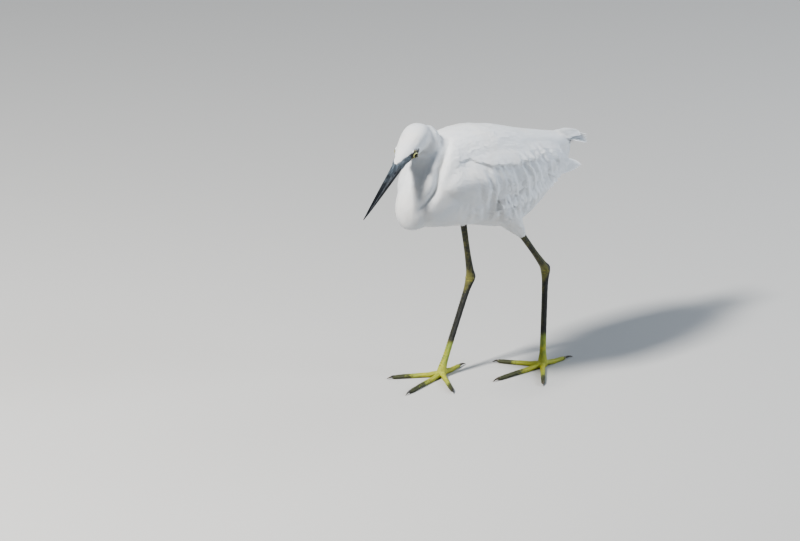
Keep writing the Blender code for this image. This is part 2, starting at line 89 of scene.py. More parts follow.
def ripple(points, size, seed):  # soft noise from -1 to 1 at each point
    return np.array([noise.noise(Vector(p / size) + Vector((seed, 0, 0))) for p in points])


# Meshes from arrays, in millimetres

def makePiece(name, points, faces, finish, maps=None, values=None, sharp=None):
    points, faces = np.asarray(points, float), np.asarray(faces, np.int32)
    sides = faces.shape[1]
    mesh = bpy.data.meshes.new(name)
    mesh.vertices.add(len(points))
    mesh.vertices.foreach_set("co", ((points + toFrame) * mm).astype(np.float32).ravel())
    mesh.loops.add(faces.size)
    mesh.loops.foreach_set("vertex_index", faces.ravel())
    mesh.polygons.add(len(faces))
    mesh.polygons.foreach_set("loop_start", np.arange(0, faces.size, sides, dtype=np.int32))
    mesh.update(calc_edges=True)
    mesh.validate()
    mesh.shade_smooth()
    for key, uv in (maps or {}).items():
        layer = mesh.uv_layers.new(name=key)
        layer.data.foreach_set("uv", np.asarray(uv, np.float32)[faces.ravel()].ravel())
    for key, value in (values or {}).items():
        attribute = mesh.attributes.new(key, "FLOAT", "POINT")
        attribute.data.foreach_set("value", np.asarray(value, np.float32))
    if sharp:
        mesh.set_sharp_from_angle(angle=math.radians(sharp))
    mesh.materials.append(finish)
    piece = bpy.data.objects.new(name, mesh)
    bpy.context.scene.collection.objects.link(piece)
    return piece


def settle(piece, *nodes):  # the piece rides on the bird and stands for these nodes
    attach(piece, "root")
    if nodes:
        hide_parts(*nodes)
    triangles = sum(len(p.vertices) - 2 for p in piece.data.polygons)
    print(f"{piece.name}: {triangles} triangles")
    return piece


def ringFaces(rings, sides, flat=False):  # triangles between rings, then fans to two end points
    i, k = np.meshgrid(np.arange(rings - 1), np.arange(sides), indexing="ij")
    a, b = i * sides + k, i * sides + (k + 1) % sides
    faces = np.stack([a, b, b + sides, a, b + sides, a + sides], -1)
    if flat:  # a thin vane is split alike on both faces, so that they never cross
        under = np.stack([a, b, a + sides, b, b + sides, a + sides], -1)
        faces = np.where((k >= sides // 2)[..., None], under, faces)
    k = np.arange(sides)
    last, low, high = (rings - 1) * sides, rings * sides, rings * sides + 1
    start = np.stack([np.full(sides, low), (k + 1) % sides, k], -1)
    end = np.stack([np.full(sides, high), last + k, last + (k + 1) % sides], -1)
    return np.concatenate([faces.reshape(-1, 3), start, end])


def ringPoints(rings):
    rings = np.asarray(rings, float)
    return np.concatenate([rings.reshape(-1, 3), rings[0].mean(0)[None], rings[-1].mean(0)[None]])


def outward(points, faces):  # turns a closed shape's faces out
    corners = points[faces]
    volume = np.einsum("ij,ij->i", corners[:, 0], np.cross(corners[:, 1], corners[:, 2])).sum()
    return faces if volume > 0 else faces[:, ::-1]


def limb(stations, rings, sides, shape=None, reference=None):  # a tube through x, y, z, radius stations
    t = np.linspace(0, 1, rings)
    spots = curveThrough(stations, t)
    way = unit(curveThrough(stations, t + 0.01)[:, :3] - curveThrough(stations, t - 0.01)[:, :3])
    side = unit(np.cross(way, reference if reference is not None else (1.0, 0, 0)))
    over = np.cross(way, side)
    turn = turns(sides)
    radius = np.repeat(spots[:, 3:4], sides, 1)
    if shape:
        radius = radius + shape(t[:, None], turn[None, :])
    points = spots[:, None, :3] + radius[..., None] * (
        np.cos(turn)[None, :, None] * side[:, None] + np.sin(turn)[None, :, None] * over[:, None])
    points = ringPoints(points)
    faces = ringFaces(rings, sides)
    return points, outward(points, faces)


def joined(parts):
    points, faces, count = [], [], 0
    for some, their in parts:
        points.append(some)
        faces.append(their + count)
        count += len(some)
    return np.concatenate(points), np.concatenate(faces)


def melted(parts, voxel, passes):  # joins closed shapes into one skin and smooths it
    points, faces = joined(parts)
    mesh = bpy.data.meshes.new("melt")
    mesh.from_pydata([tuple(p) for p in points], [], faces.tolist())
    lump = bpy.data.objects.new("melt", mesh)
    bpy.context.scene.collection.objects.link(lump)
    modifier = lump.modifiers.new("melt", "REMESH")
    modifier.mode = "VOXEL"
    modifier.voxel_size = voxel
    graph = bpy.context.evaluated_depsgraph_get()
    skin = bpy.data.meshes.new_from_object(lump.evaluated_get(graph))
    bpy.data.objects.remove(lump)
    points = np.zeros(len(skin.vertices) * 3, np.float32)
    skin.vertices.foreach_get("co", points)
    points = points.reshape(-1, 3).astype(float)
    quads = np.zeros(len(skin.polygons) * 4, np.int32)
    skin.polygons.foreach_get("vertices", quads)
    quads = quads.reshape(-1, 4)
    points = evened(points, quads, passes, 0.5)
    return points, quads


def evened(values, quads, passes, share=0.7):  # averages values over neighbouring points of a skin
    edges = np.concatenate([quads[:, [0, 1]], quads[:, [1, 2]], quads[:, [2, 3]], quads[:, [3, 0]]])
    degree = np.maximum(np.bincount(edges.ravel(), minlength=len(values)), 1)[:, None]
    first, second = edges.T
    for _ in range(passes):
        total = [np.bincount(first, column[second], len(values)) +
                 np.bincount(second, column[first], len(values)) for column in values.T]
        total = np.stack(total, 1)
        values = values + share * (total / degree - values)
    return values


def normalsOf(points, quads):
    first = points[quads[:, 2]] - points[quads[:, 0]]
    second = points[quads[:, 3]] - points[quads[:, 1]]
    flat = np.cross(first, second)
    total = np.zeros_like(points)
    for k in range(4):
        for c in range(3):
            total[:, c] += np.bincount(quads[:, k], flat[:, c], len(points))
    return unit(total)


# Finishes

class Wire:  # a socket that takes sums, so that shader maths reads as Python
    def __init__(self, finish, socket):
        self.finish, self.socket = finish, socket

    def maths(self, operation, first, second=None):
        values = {0: first} if second is None else {0: first, 1: second}
        return self.finish.node("ShaderNodeMath", {"operation": operation}, values)

    def __add__(self, other):
        return self.maths("ADD", self, other)

    def __radd__(self, other):
        return self.maths("ADD", other, self)

    def __sub__(self, other):
        return self.maths("SUBTRACT", self, other)

    def __rsub__(self, other):
        return self.maths("SUBTRACT", other, self)

    def __mul__(self, other):
        return self.maths("MULTIPLY", self, other)

    def __rmul__(self, other):
        return self.maths("MULTIPLY", other, self)

    def __truediv__(self, other):
        return self.maths("DIVIDE", self, other)

    def __abs__(self):
        return self.maths("ABSOLUTE", self)

    def sine(self):
        return self.maths("SINE", self)

    def step(self, low, high):  # 0 below low, 1 above high, smooth between
        settings = {"interpolation_type": "SMOOTHSTEP"}
        return self.finish.node("ShaderNodeMapRange", settings, {0: self, 1: low, 2: high, 3: 0.0, 4: 1.0})


class Finish:  # one material and the nodes that make it
    def __init__(self, name, roughness, **constants):
        self.material = bpy.data.materials.new(name)
        self.material.use_nodes = True
        self.tree = self.material.node_tree
        self.shader = self.tree.nodes["Principled BSDF"]
        self.shader.inputs["Roughness"].default_value = roughness
        for key, value in constants.items():
            self.shader.inputs[key.replace("_", " ")].default_value = value

    def node(self, kind, settings=None, values=None, output=0):
        made = self.tree.nodes.new(kind)
        for key, value in (settings or {}).items():
            setattr(made, key, value)
        for key, value in (values or {}).items():
            if isinstance(value, Wire):
                self.tree.links.new(value.socket, made.inputs[key])
            else:
                made.inputs[key].default_value = value
        return Wire(self, made.outputs[output])

    def place(self):
        return self.node("ShaderNodeTexCoord", output="Object")

    def part(self, vector, axis):
        return self.node("ShaderNodeSeparateXYZ", {}, {0: vector}, axis)

    def value(self, name):
        return self.node("ShaderNodeAttribute", {"attribute_name": name}, {}, "Fac")

    def map(self, name):
        return self.node("ShaderNodeUVMap", {"uv_map": name})

    def grain(self, vector, scale, detail=3.0, rough=0.55):
        values = {"Vector": vector, "Scale": scale, "Detail": detail, "Roughness": rough}
        return self.node("ShaderNodeTexNoise", {"noise_dimensions": "3D"}, values)

    def stretched(self, vector, scale):
        return self.node("ShaderNodeMapping", {}, {"Vector": vector, "Scale": scale})

    def mix(self, amount, first, second):
        pair = {0: amount, 6: first, 7: second}
        return self.node("ShaderNodeMix", {"data_type": "RGBA"}, pair, 2)

    def feed(self, socket, wire):
        self.tree.links.new(wire.socket, self.shader.inputs[socket])

    def bump(self, height, distance, strength=1.0):
        values = {"Height": height, "Distance": distance, "Strength": strength}
        self.feed("Normal", self.node("ShaderNodeBump", {}, values))


plumageFinish = {
    "white": (0.80, 0.825, 0.85, 1), "shade": (0.70, 0.735, 0.77, 1), "warm": (0.84, 0.84, 0.835, 1),
    "roughness": 0.62, "barbGap": 0.5, "barbSlant": 0.85, "barbDepth": 0.00005,
    "glow": {"Subsurface_Weight": 0.35, "Subsurface_Scale": 0.0022, "Subsurface_Radius": (1.0, 0.95, 0.9)},
}


def makePlumage():
    s = plumageFinish
    f = Finish("plumage", s["roughness"], **s["glow"])
    vane = f.map("vane")
    along, aside = f.part(vane, 0), abs(f.part(vane, 1))
    barbs = ((along + aside * s["barbSlant"]) * (2 * math.pi / s["barbGap"])).sine()
    cloud = f.grain(f.place(), 38.0, 4.0)
    fine = f.grain(f.place(), 420.0, 2.0)
    base = f.mix(cloud.step(0.42, 0.68), s["white"], s["warm"])
    base = f.mix(fine.step(0.5, 0.8) * 0.35, base, s["shade"])
    f.feed("Base Color", base)
    f.bump(barbs * 0.5 + fine, s["barbDepth"], 0.6)
    return f.material


skinFinish = {
    "down": (0.80, 0.825, 0.85, 1), "blue": (0.13, 0.165, 0.20, 1), "dark": (0.020, 0.022, 0.024, 1),
    "olive": (0.20, 0.18, 0.055, 1), "roughness": 0.5,
}


def makeSkin():
    s = skinFinish
    f = Finish("skin", s["roughness"])
    place = f.place()
    streak = f.grain(f.stretched(place, (1.0, 0.4, 0.8)), 700.0, 4.0)
    bare, olive, darkness = f.value("bare"), f.value("olive"), f.value("dark")
    lore = f.mix(streak.step(0.30, 0.70) * 0.8 + 0.1, s["dark"], s["blue"])
    lore = f.mix(olive, lore, s["olive"])
    lore = f.mix((darkness * 1.1 + streak * 0.7 - 0.35).step(0.3, 0.75), lore, s["dark"])
    f.feed("Base Color", f.mix(bare, s["down"], lore))
    f.bump(f.grain(place, 900.0, 3.0), 0.00015, 0.5)
    return f.material


billFinish = {
    "black": (0.007, 0.008, 0.010, 1), "blue": (0.07, 0.09, 0.115, 1), "pale": (0.20, 0.245, 0.29, 1),
    "roughness": 0.3,
}


def makeBillFinish():
    s = billFinish
    f = Finish("billHorn", s["roughness"], IOR=1.35)
    along, rise, turn = f.value("along"), f.value("rise"), f.value("round")
    lines = f.node("ShaderNodeCombineXYZ", {}, {0: along * 0.035, 1: turn * 1.3, 2: 0.0})
    patches = f.node("ShaderNodeCombineXYZ", {}, {0: along * 0.08, 1: turn * 0.9, 2: 4.0})
    streak = f.grain(lines, 2.0, 5.0, 0.7)
    mottle = f.grain(patches, 2.0, 5.0, 0.65)
    ridge = rise.step(3.0, 5.5)
    base = f.mix((1 - along.step(2.0, 30.0)) * streak.step(0.46, 0.6), s["black"], s["blue"])
    pale = (1 - along.step(4.0, 28.0)) * streak.step(0.52, 0.6) * mottle.step(0.44, 0.6)
    base = f.mix(pale * rise.step(0.4, 1.8), base, s["pale"])
    # painted highlight: the pale patches on the top ridge of the upper half, near the base, stand for light on
    # the culmen
    base = f.mix(ridge * (1 - along.step(14.0, 60.0)) * mottle.step(0.42, 0.7) * 0.55, base, s["pale"])
    f.feed("Base Color", base)
    f.feed("Roughness", 0.26 + 0.22 * mottle)
    f.bump(streak + mottle * 0.3, 0.00018, 0.6)
    return f.material


eyeFinish = {"pupil": 2.25, "rim": 3.45, "black": (0.002, 0.002, 0.002, 1), "iris": (0.44, 0.44, 0.17, 1),
             "inner": (0.54, 0.55, 0.27, 1), "edge": (0.10, 0.09, 0.03, 1)}


def makeEyeFinish():
    s = eyeFinish
    f = Finish("eye", 0.03, IOR=1.3)
    away = f.value("fromAxis")
    fibres = f.grain(f.place(), 1500.0, 3.0)
    base = f.mix(fibres.step(0.3, 0.75), s["iris"], s["inner"])
    base = f.mix(away.step(s["rim"] - 0.45, s["rim"] + 0.2), base, s["edge"])
    base = f.mix(1 - away.step(s["pupil"] - 0.1, s["pupil"] + 0.1), base, s["black"])
    f.feed("Base Color", base)
    return f.material


legFinish = {
    "black": (0.016, 0.017, 0.015, 1), "olive": (0.15, 0.145, 0.04, 1), "yellow": (0.42, 0.41, 0.045, 1),
    "green": (0.21, 0.27, 0.045, 1), "stain": (0.045, 0.05, 0.018, 1),
    "sockTop": 38.0, "sockSoft": 5.0, "roughness": 0.48,
}


def makeLegFinish():
    s = legFinish
    f = Finish("legSkin", s["roughness"])
    place = f.place()
    height = f.part(place, 2) / mm
    patch, speck = f.grain(place, 95.0, 4.0), f.grain(place, 420.0, 4.0, 0.7)
    front, toe, knee = f.value("front"), f.value("toe"), f.value("knee")
    mottle = speck * 0.7 + patch * 0.5 + front * 0.35 + knee * 0.5
    upper = f.mix(mottle.step(0.84, 1.24), s["black"], s["olive"])
    rings = (height * 1.9 + patch * 9.0).sine()
    upper = f.mix((knee * (speck + rings * 0.07)).step(0.43, 0.56), upper, s["yellow"])
    lower = f.mix(patch.step(0.46, 0.70), s["green"], s["yellow"])
    lower = f.mix((1 - height.step(8.0, 20.0)) * (1 - toe) * 0.6, lower, s["yellow"])
    stain = (speck * 0.8 + patch * 0.7 + toe * 0.52).step(0.88, 1.12)
    lower = f.mix(stain, lower, s["stain"])
    uneven = height + (patch - 0.5) * 16.0 + (speck - 0.5) * 6.0
    sock = uneven.step(s["sockTop"] - s["sockSoft"], s["sockTop"] + s["sockSoft"])
    f.feed("Base Color", f.mix(sock, lower, upper))
    cells = {"Vector": place, "Scale": 1250.0}
    net = f.node("ShaderNodeTexVoronoi", {"feature": "DISTANCE_TO_EDGE"}, cells)
    f.bump(net.step(0.0, 0.22) + speck * 0.4, 0.00022, 0.7)
    return f.material


clawFinish = {"dark": (0.02, 0.018, 0.016, 1), "pale": (0.09, 0.075, 0.05, 1), "roughness": 0.32}


def makeClawFinish():
    s = clawFinish
    f = Finish("clawHorn", s["roughness"])
    grain = f.grain(f.place(), 260.0, 4.0)
    f.feed("Base Color", f.mix(grain.step(0.4, 0.7), s["dark"], s["pale"]))
    f.bump(f.grain(f.place(), 900.0, 2.0), 0.00008, 0.5)
    return f.material


finishes = {
    "plumage": makePlumage(), "skin": makeSkin(), "bill": makeBillFinish(), "eye": makeEyeFinish(),
    "leg": makeLegFinish(), "claw": makeClawFinish(),
}
print("finishes made")


# The head's own directions

head = {
    "culmen": np.array((12.0, -158.0, 287.0)), "yaw": math.radians(17.5), "pitch": math.radians(28.5),
    "eyeBack": 22.6, "eyeSide": 8.6, "eyeUp": -7.7, "eyeRadius": 5.0,
}
yaw, pitch = head["yaw"], head["pitch"]
ahead = np.array((math.sin(yaw) * math.cos(pitch), -math.cos(yaw) * math.cos(pitch), -math.sin(pitch)))
leftward = np.array((math.cos(yaw), math.sin(yaw), 0.0))
upward = np.cross(ahead, leftward)


def onHead(back, left, up):
    back, left, up = (np.asarray(v, float)[..., None] for v in (back, left, up))
    return head["culmen"] - back * ahead + left * leftward + up * upward


def inHead(points):  # back, left and up of each point
    away = points - head["culmen"]
    return -(away @ ahead), away @ leftward, away @ upward


# The skin under the coat

body = {
    "voxel": 1.25, "passes": 12, "depth": 1.9, "headDepth": 1.2, "wingDepth": 2.6, "backDepth": 3.2,
    "foldSize": 13.0, "foldStretch": 3.6, "foldDepth": 1.0,
    "crease": ((13, -78, 297), (21, -92, 286), (26, -104, 268),
               (28, -111, 249), (25, -121, 235), (18, -128, 224)),
    "creaseDepth": 8.0, "creaseWidth": 5.2,
    "flesh": ("head", "neck_upper", "neck_lower", "torso", "thigh_left", "thigh_right"),
}
neckLine = ((-6, -95, 304), (-4, -94, 293), (-4, -95, 278), (-2, -106, 256),
            (0, -114, 238), (0, -118, 222), (0, -119, 205))
neckRadius = (12, 17, 18.5, 20, 22, 23, 18)
# The folded wing: y, top edge (z, x), bottom edge (z, x), x at its middle, thickness
wingStations = (
    (-106, 252, 24, 240, 25, 34, 8), (-96, 272, 18, 225, 26, 43, 16), (-76, 288, 16, 210, 30, 50.5, 20),
    (-45, 294, 14, 203, 32, 54, 22), (-15, 290, 14, 202, 33, 55, 22), (15, 281, 14, 204, 33, 52, 22),
    (45, 270, 17, 210, 32, 45, 16), (70, 259, 20, 218, 30, 37, 12), (86, 250, 20, 226, 26, 32, 8),
)


def neckGaps(points, count):  # how far each point is outside the neck, at each of so many places on its line
    t = np.linspace(0, 1, count)
    line = curveThrough(neckLine, t)
    radius = np.interp(t, np.linspace(0, 1, len(neckRadius)), neckRadius)
    return np.linalg.norm(points[:, None] - line[None], axis=2) - radius[None], line


def creaseGaps(points, count):  # each point's distance from so many places on the fold beside the neck
    line = curveThrough(body["crease"], np.linspace(0, 1, count))
    oneSide = np.concatenate([abs(points[:, :1]), points[:, 1:]], 1)
    return np.linalg.norm(oneSide[:, None] - line[None], axis=2)


# The way that the coat lies

# Which way it lies on each part, with x away from the middle
lies = {"breast": (0.25, 0.35, -0.9), "shoulder": (0.55, 0.75, -0.5), "nape": (0.0, 0.25, -1.0)}
thighs = (((29, 2, 184), 0.45), ((-28, -17, 180), 0.15))  # a place on each, and how far back its coat lies


def sided(way, side):  # a direction that is given for the left, for each point's own side
    return np.stack([way[0] * side, way[1] + 0 * side, way[2] + 0 * side], 1)


def lieOf(points, normals):  # the coat's direction at each point, from body, breast, shoulder, neck and head
    x, y, z = points.T
    side = np.sign(x + 1e-9)
    back, left, up = inHead(points)
    flank = smooth(abs(x), 22, 46) * smooth(y, -95, -55) * smooth(z, 196, 214)
    onBody = np.stack([0 * x, 1 + 0 * x, -0.22 - 0.75 * flank + 0.25 * smooth(195 - z, 0, 20)], 1)
    breast = smooth(-y, 96, 124) * smooth(262 - z, 0, 20)
    onBody = across(onBody, sided(lies["breast"], side), breast[:, None])
    shoulder = smooth(-y, 70, 100) * smooth(z, 262, 280)
    onBody = across(onBody, sided(lies["shoulder"], side), shoulder[:, None] * 0.8)
    apart, line = neckGaps(points, 60)
    nearest = apart.argmin(1)
    onNeck = np.gradient(line, axis=0)[nearest]
    neckShare = (1 - smooth(apart.min(1), 0.5, 4.0)) * smooth(-y, 68, 84)
    lie = across(onBody, onNeck / 2.2, neckShare[:, None])
    backward = -ahead + 0.35 * upward * smooth(up, -2, 6)[:, None] * (1 - smooth(back, 20, 44))[:, None]
    nape = smooth(back, 46, 62)
    backward = across(backward, np.array(lies["nape"]), nape[:, None])
    headShare = (1 - smooth(back, 60, 68)) * smooth(up, -31, -26) * (1 - smooth(abs(left), 17, 21))
    lie = across(lie, backward, headShare[:, None])
    for place, slant in thighs:
        near = 1 - smooth(np.linalg.norm((points - np.array(place)) * (0.8, 0.9, 0.7), axis=1), 15, 21)
        lie = across(lie, np.array((0, slant, -1.0)), near[:, None])
    lie = lie - normals * np.einsum("ij,ij->i", lie, normals)[:, None]
    return unit(lie)


drape = {"rise": 4.0, "across": 6.2, "down": 44.0, "slant": 0.38}
ledge = {  # the line's points are y, z, and each wave on it is its height, length and start
    "line": ((-84, 276), (-78, 275.6), (-65, 274), (-49, 267.5), (-31, 261.2), (-6, 258.6),
             (20, 255), (48, 253), (80, 250)),
    "waves": ((0.9, 6.3, 0), (0.5, 2.9, 1)), "depth": 2.7, "soft": 0.6, "reach": (3, 26),
}


def drapeOf(points):  # how far the soft folds of the flank stand out
    x, y, z = points.T
    flank = smooth(abs(x), 26, 40) * smooth(y, -80, -50) * (1 - smooth(y, 62, 92))
    flank = flank * (1 - smooth(z, 254, 268)) * smooth(z, 184, 204)
    lines = np.stack([(y + drape["slant"] * z) / drape["across"], z / drape["down"], np.sign(x) * 9.0], 1)
    return drape["rise"] * flank * ripple(lines, 1.0, 2.0)


def ledgeOf(points):  # how far the skin steps back under the shoulder feathers' wavy edge
    x, y, z = points.T
    line = np.interp(y, *zip(*ledge["line"]))
    for height, long, start in ledge["waves"]:
        line = line + height * np.sin(y / long + start)
    fade = smooth(abs(x), 30, 40) * smooth(y, -88, -76) * (1 - smooth(y, 16, 64))
    step = smooth(line - z, -ledge["soft"], ledge["soft"]) * (1 - smooth(line - z, *ledge["reach"]))
    return ledge["depth"] * fade * step


def nodeShape(name):  # a CAD node's points and faces, merged
    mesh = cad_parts[name].data
    mesh.calc_loop_triangles()
    points = np.array([v.co for v in mesh.vertices]) / mm - toFrame
    faces = np.array([t.vertices for t in mesh.loop_triangles])
    _, first, back = np.unique(np.round(points, 3), axis=0, return_index=True, return_inverse=True)
    faces = back.reshape(-1)[faces]
    keep = (faces[:, 0] != faces[:, 1]) & (faces[:, 1] != faces[:, 2]) & (faces[:, 2] != faces[:, 0])
    return points[first], faces[keep]


def wingPad(side):  # a closed lens that the folded wing's feathers cover
    count, half = 40, 16
    sides = 2 * half - 2
    u = np.concatenate([np.linspace(1, -1, half), np.linspace(-1, 1, half)[1:-1]])
    depth = np.concatenate([np.zeros(half), np.ones(half - 2)])
    rings = []
    for y, top, topX, bottom, bottomX, out, thick in curveThrough(wingStations, np.linspace(0, 1, count)):
        edge = (topX + bottomX) / 2 + u * (topX - bottomX) / 2
        crown = 1 - u * u
        x = edge + (out - edge) * crown - depth * (thick * crown + 0.6)
        rings.append(np.stack([side * x, np.full(sides, y), (top + bottom) / 2 + u * (top - bottom) / 2], 1))
    points, faces = ringPoints(rings), ringFaces(count, sides)
    return points, outward(points, faces)


def makeBody():  # one skin from the flesh nodes and wing pads, sunk under the coat's depth, with its folds
    parts = [nodeShape(name) for name in body["flesh"]] + [wingPad(1), wingPad(-1)]
    points, quads = melted(parts, body["voxel"], body["passes"])
    normals = normalsOf(points, quads)
    back, left, up = inHead(points)
    onFace = (1 - smooth(back, 48, 66)) * smooth(up, -34, -26)
    x, y, z = points.T
    onWing = smooth(abs(x), 34, 44) * smooth(y, -98, -80) * (1 - smooth(y, 70, 90)) * smooth(z, 214, 232)
    onBack = smooth(z, 262, 280) * smooth(y, -90, -70)
    depth = across(across(body["depth"], body["backDepth"], onBack), body["wingDepth"], onWing)
    depth = across(depth, across(0.1, body["headDepth"], smooth(back, 1, 9)), onFace)
    lie = lieOf(points, normals)
    along = np.einsum("ij,ij->i", points, lie)[:, None] * lie
    folds = ripple(points - along * (1 - 1 / body["foldStretch"]), body["foldSize"], 5.0)
    held = (1 - onFace) * (1 - 0.5 * onBack) * (1 - 0.9 * smooth(-y, 80, 98)) * (1 - onWing)
    depth = depth - folds * body["foldDepth"] * held - drapeOf(points) + ledgeOf(points)
    near = creaseGaps(points, 50)
    fade = np.sin(np.linspace(0.25, math.pi, 50)) ** 0.5
    depth = depth + body["creaseDepth"] * (np.exp(-(near / body["creaseWidth"]) ** 2) * fade[None]).max(1)
    points = points - normals * depth[:, None]
    normals = normalsOf(points, quads)
    return points, quads, normals, unit(evened(lie, quads, 40))


bodyPoints, bodyQuads, bodyNormals, bodyLie = makeBody()
print(f"skin melted: {len(bodyQuads)} quads")

# How far back from the culmen the bare face ends
faceEnd = 31

# The bare face: lores from the bill back to the eye, between the crown's point and the gape's pale edge
face = {"crownLine": ((-6, 1.5), (0, -0.4), (8, -1.4), (15, -2.3), (21, -3.0), (26, -4.0), (31, -7.0)),
        "gapeLine": ((-6, -14.5), (2, -13.4), (10, -13.8), (18, -14.6), (25, -14.2), (28, -11.5), (31, -8.0))}


def bareness(points, soft=0.6):  # 1 on bare skin
    back, left, up = inHead(points)
    crown = np.interp(back, *zip(*face["crownLine"]))
    gape = np.interp(back, *zip(*face["gapeLine"]))
    inside = smooth(crown - up, -soft, soft) * smooth(up - gape, -soft, soft)
    return inside * smooth(faceEnd - back, -soft, soft) * smooth(abs(left), 0.6, 2.0)


def makeFaceValues(points):  # where the skin is bare, olive and dark
    back, left, up = inHead(points)
    eye = np.hypot(back - head["eyeBack"], up - head["eyeUp"])
    below = smooth(-up, 9.5, 11.0) * smooth(back, 11, 16)
    olive = np.maximum(below, (1 - smooth(eye, 5.6, 8.0)) * smooth(-up, 6.0, 8.5))
    edge = np.interp(back, *zip(*face["gapeLine"]))
    dark = (1 - smooth(abs(up - edge - 1.3), 0.5, 1.6)) * (1 - 0.85 * smooth(back, 14, 18))
    crown = np.interp(back, *zip(*face["crownLine"]))
    dark = np.maximum(dark, (1 - smooth(abs(crown - up - 0.4), 0.3, 1.4)) * smooth(back, 9, 15))
    dark = np.maximum(dark, 0.9 * smooth(back, 9, 14) * (1 - smooth(eye, 6.0, 9.0)) * smooth(up, -9, -7))
    dark = np.maximum(dark, (1 - smooth(eye, 4.2, 4.8)))
    dark = np.maximum(dark, smooth(back, 25.5, 27))
    return {"bare": bareness(points), "olive": np.clip(olive, 0, 1), "dark": np.clip(dark, 0, 1)}


bodySkin = makePiece("bodySkin", bodyPoints, bodyQuads, finishes["skin"],
                     values=makeFaceValues(bodyPoints))


def unwrapSkin():  # an unwrap of the skin's own shape, which the coat's patches sit on
    bpy.context.view_layer.objects.active = bodySkin
    bodySkin.select_set(True)
    bodySkin.data.uv_layers.new(name="OFBake")
    bpy.ops.object.mode_set(mode="EDIT")
    bpy.ops.mesh.select_all(action="SELECT")
    bpy.ops.uv.smart_project(angle_limit=math.radians(66), island_margin=0.004)
    bpy.ops.object.mode_set(mode="OBJECT")
    bodySkin.select_set(False)
    uv = np.zeros(len(bodySkin.data.loops) * 2, np.float32)
    bodySkin.data.uv_layers["OFBake"].data.foreach_get("uv", uv)
    return uv.reshape(-1, 4, 2).mean(1)  # one place for each quad


quadMap = unwrapSkin()
settle(bodySkin, *body["flesh"])
skinTree = BVHTree.FromPolygons([tuple(p) for p in bodyPoints], bodyQuads.tolist())
print("skin unwrapped")


# Feathers: how one is built, and how they are laid

vaneShapes = {  # share of the full width along the vane, from root to tip
    "tuft": (0.30, 0.80, 1.00, 0.72, 0.06),
    "lancet": (0.30, 0.82, 1.00, 0.88, 0.55, 0.05),
    "plume": (0.25, 0.62, 0.88, 1.00, 0.96, 0.80, 0.56, 0.28, 0.04),
    "primary": (0.20, 0.55, 0.80, 0.94, 1.00, 0.98, 0.90, 0.74, 0.48, 0.05),
    "quill": (0.20, 0.55, 0.80, 0.94, 1.00, 1.00, 0.96, 0.84, 0.56, 0.06),
}


def cling(spots, heights, held):  # brings vane edges down to their height over the skin
    for f in range(spots.shape[0]):
        for k in range(spots.shape[1]):
            if held[f, k] > 0:
                spot, normal, _, _ = skinTree.find_nearest(Vector(spots[f, k]))
                laid = np.array(spot) + np.array(normal) * heights[f, k]
                spots[f, k] += (laid - spots[f, k]) * held[f, k]
    return spots


vaneForm = {  # thickness along a vane, its underside's share, and how far its shown faces turn to the sides
    "places": (0, 0.7, 1), "thickness": (1.0, 0.8, 0.4), "under": 0.5, "turned": 0.22,
}


def layVanes(paths, normals, widths, thick, shape, heights, held, tilt=0.0, ragged=0.0, soft=0.7):
    # a vane dips at its front edge and rises at its rear one, so that the next one slides under it
    count, rings = paths.shape[:2]
    profile = np.interp(np.linspace(0, 1, rings), np.linspace(0, 1, len(shape)), shape)
    way = unit(np.gradient(paths, axis=1))
    over = unit(normals - way * np.einsum("fsi,fsi->fs", normals, way)[..., None])
    side = np.cross(over, way)
    half = widths[:, None] / 2 * profile[None]
    reach = np.stack([half * (1 - ragged * rng.random((count, rings))) for _ in range(2)])
    tall = thick[:, None] * np.interp(np.linspace(0, 1, rings), vaneForm["places"], vaneForm["thickness"])[None]
    lift = np.broadcast_to(tilt, (count,))[:, None] * profile[None]
    left = cling(paths + side * reach[0][..., None] + over * lift[..., None], heights + lift, held)
    right = cling(paths - side * reach[1][..., None] - over * lift[..., None], heights - lift, held)
    upper = paths + over * tall[..., None]
    lower = paths - over * (tall * vaneForm["under"])[..., None]
    spots = np.stack([left, upper, right, lower], 2)
    turned = vaneForm["turned"] * side
    shown = np.stack([over + turned, over, over - turned, over], 2)
    shown = unit(across(shown, np.broadcast_to(normals[:, :, None], shown.shape), soft))
    steps = np.linalg.norm(np.diff(paths, axis=1), axis=2)
    length = np.concatenate([np.zeros((count, 1)), np.cumsum(steps, 1)], 1)
    vane = np.stack([
        np.repeat(length[..., None], 4, 2),
        np.stack([reach[0], 0 * half, -reach[1], 0 * half], 2),
    ], -1)
    ends = np.stack([paths[:, 0], paths[:, -1]], 1)
    points = np.concatenate([spots.reshape(count, -1, 3), ends], 1)
    shown = np.concatenate([shown.reshape(count, -1, 3), over[:, [0, -1]]], 1)
    endMap = np.stack([np.zeros((count, 2)), np.stack([length[:, -1], 0 * length[:, -1]], 1)], 1)
    vane = np.concatenate([vane.reshape(count, -1, 2), endMap], 1)
    first = outward(points[0], ringFaces(rings, 4, flat=True))
    facing = np.concatenate([np.tile((1, 1, 1, 1, -1, -1, -1, -1), rings - 1), (1, 1, -1, -1) * 2])
    each = points.shape[1]
    faces = (first[None] + np.arange(count)[:, None, None] * each).reshape(-1, 3)
    shown = shown.reshape(-1, 3)[faces] * np.tile(facing, count)[:, None, None]
    return {"points": points.reshape(-1, 3), "faces": faces, "vane": vane.reshape(-1, 2), "each": each,
            "roots": paths[:, 0], "shown": shown}


patchSize = 0.003  # a feather's patch as a share of the map


def bakeMap(roots, vane, each):  # a small patch for each feather at its root's place on the skin's unwrap
    spots = []
    for root in roots:
        _, _, index, _ = skinTree.find_nearest(Vector(root))
        spots.append(quadMap[index])
    local = vane.reshape(len(roots), each, 2)
    low, high = local.min(1, keepdims=True), local.max(1, keepdims=True)
    local = (local - low) / np.maximum(high - low, 1e-6) - 0.5
    return (np.array(spots)[:, None] + local * patchSize).reshape(-1, 2)


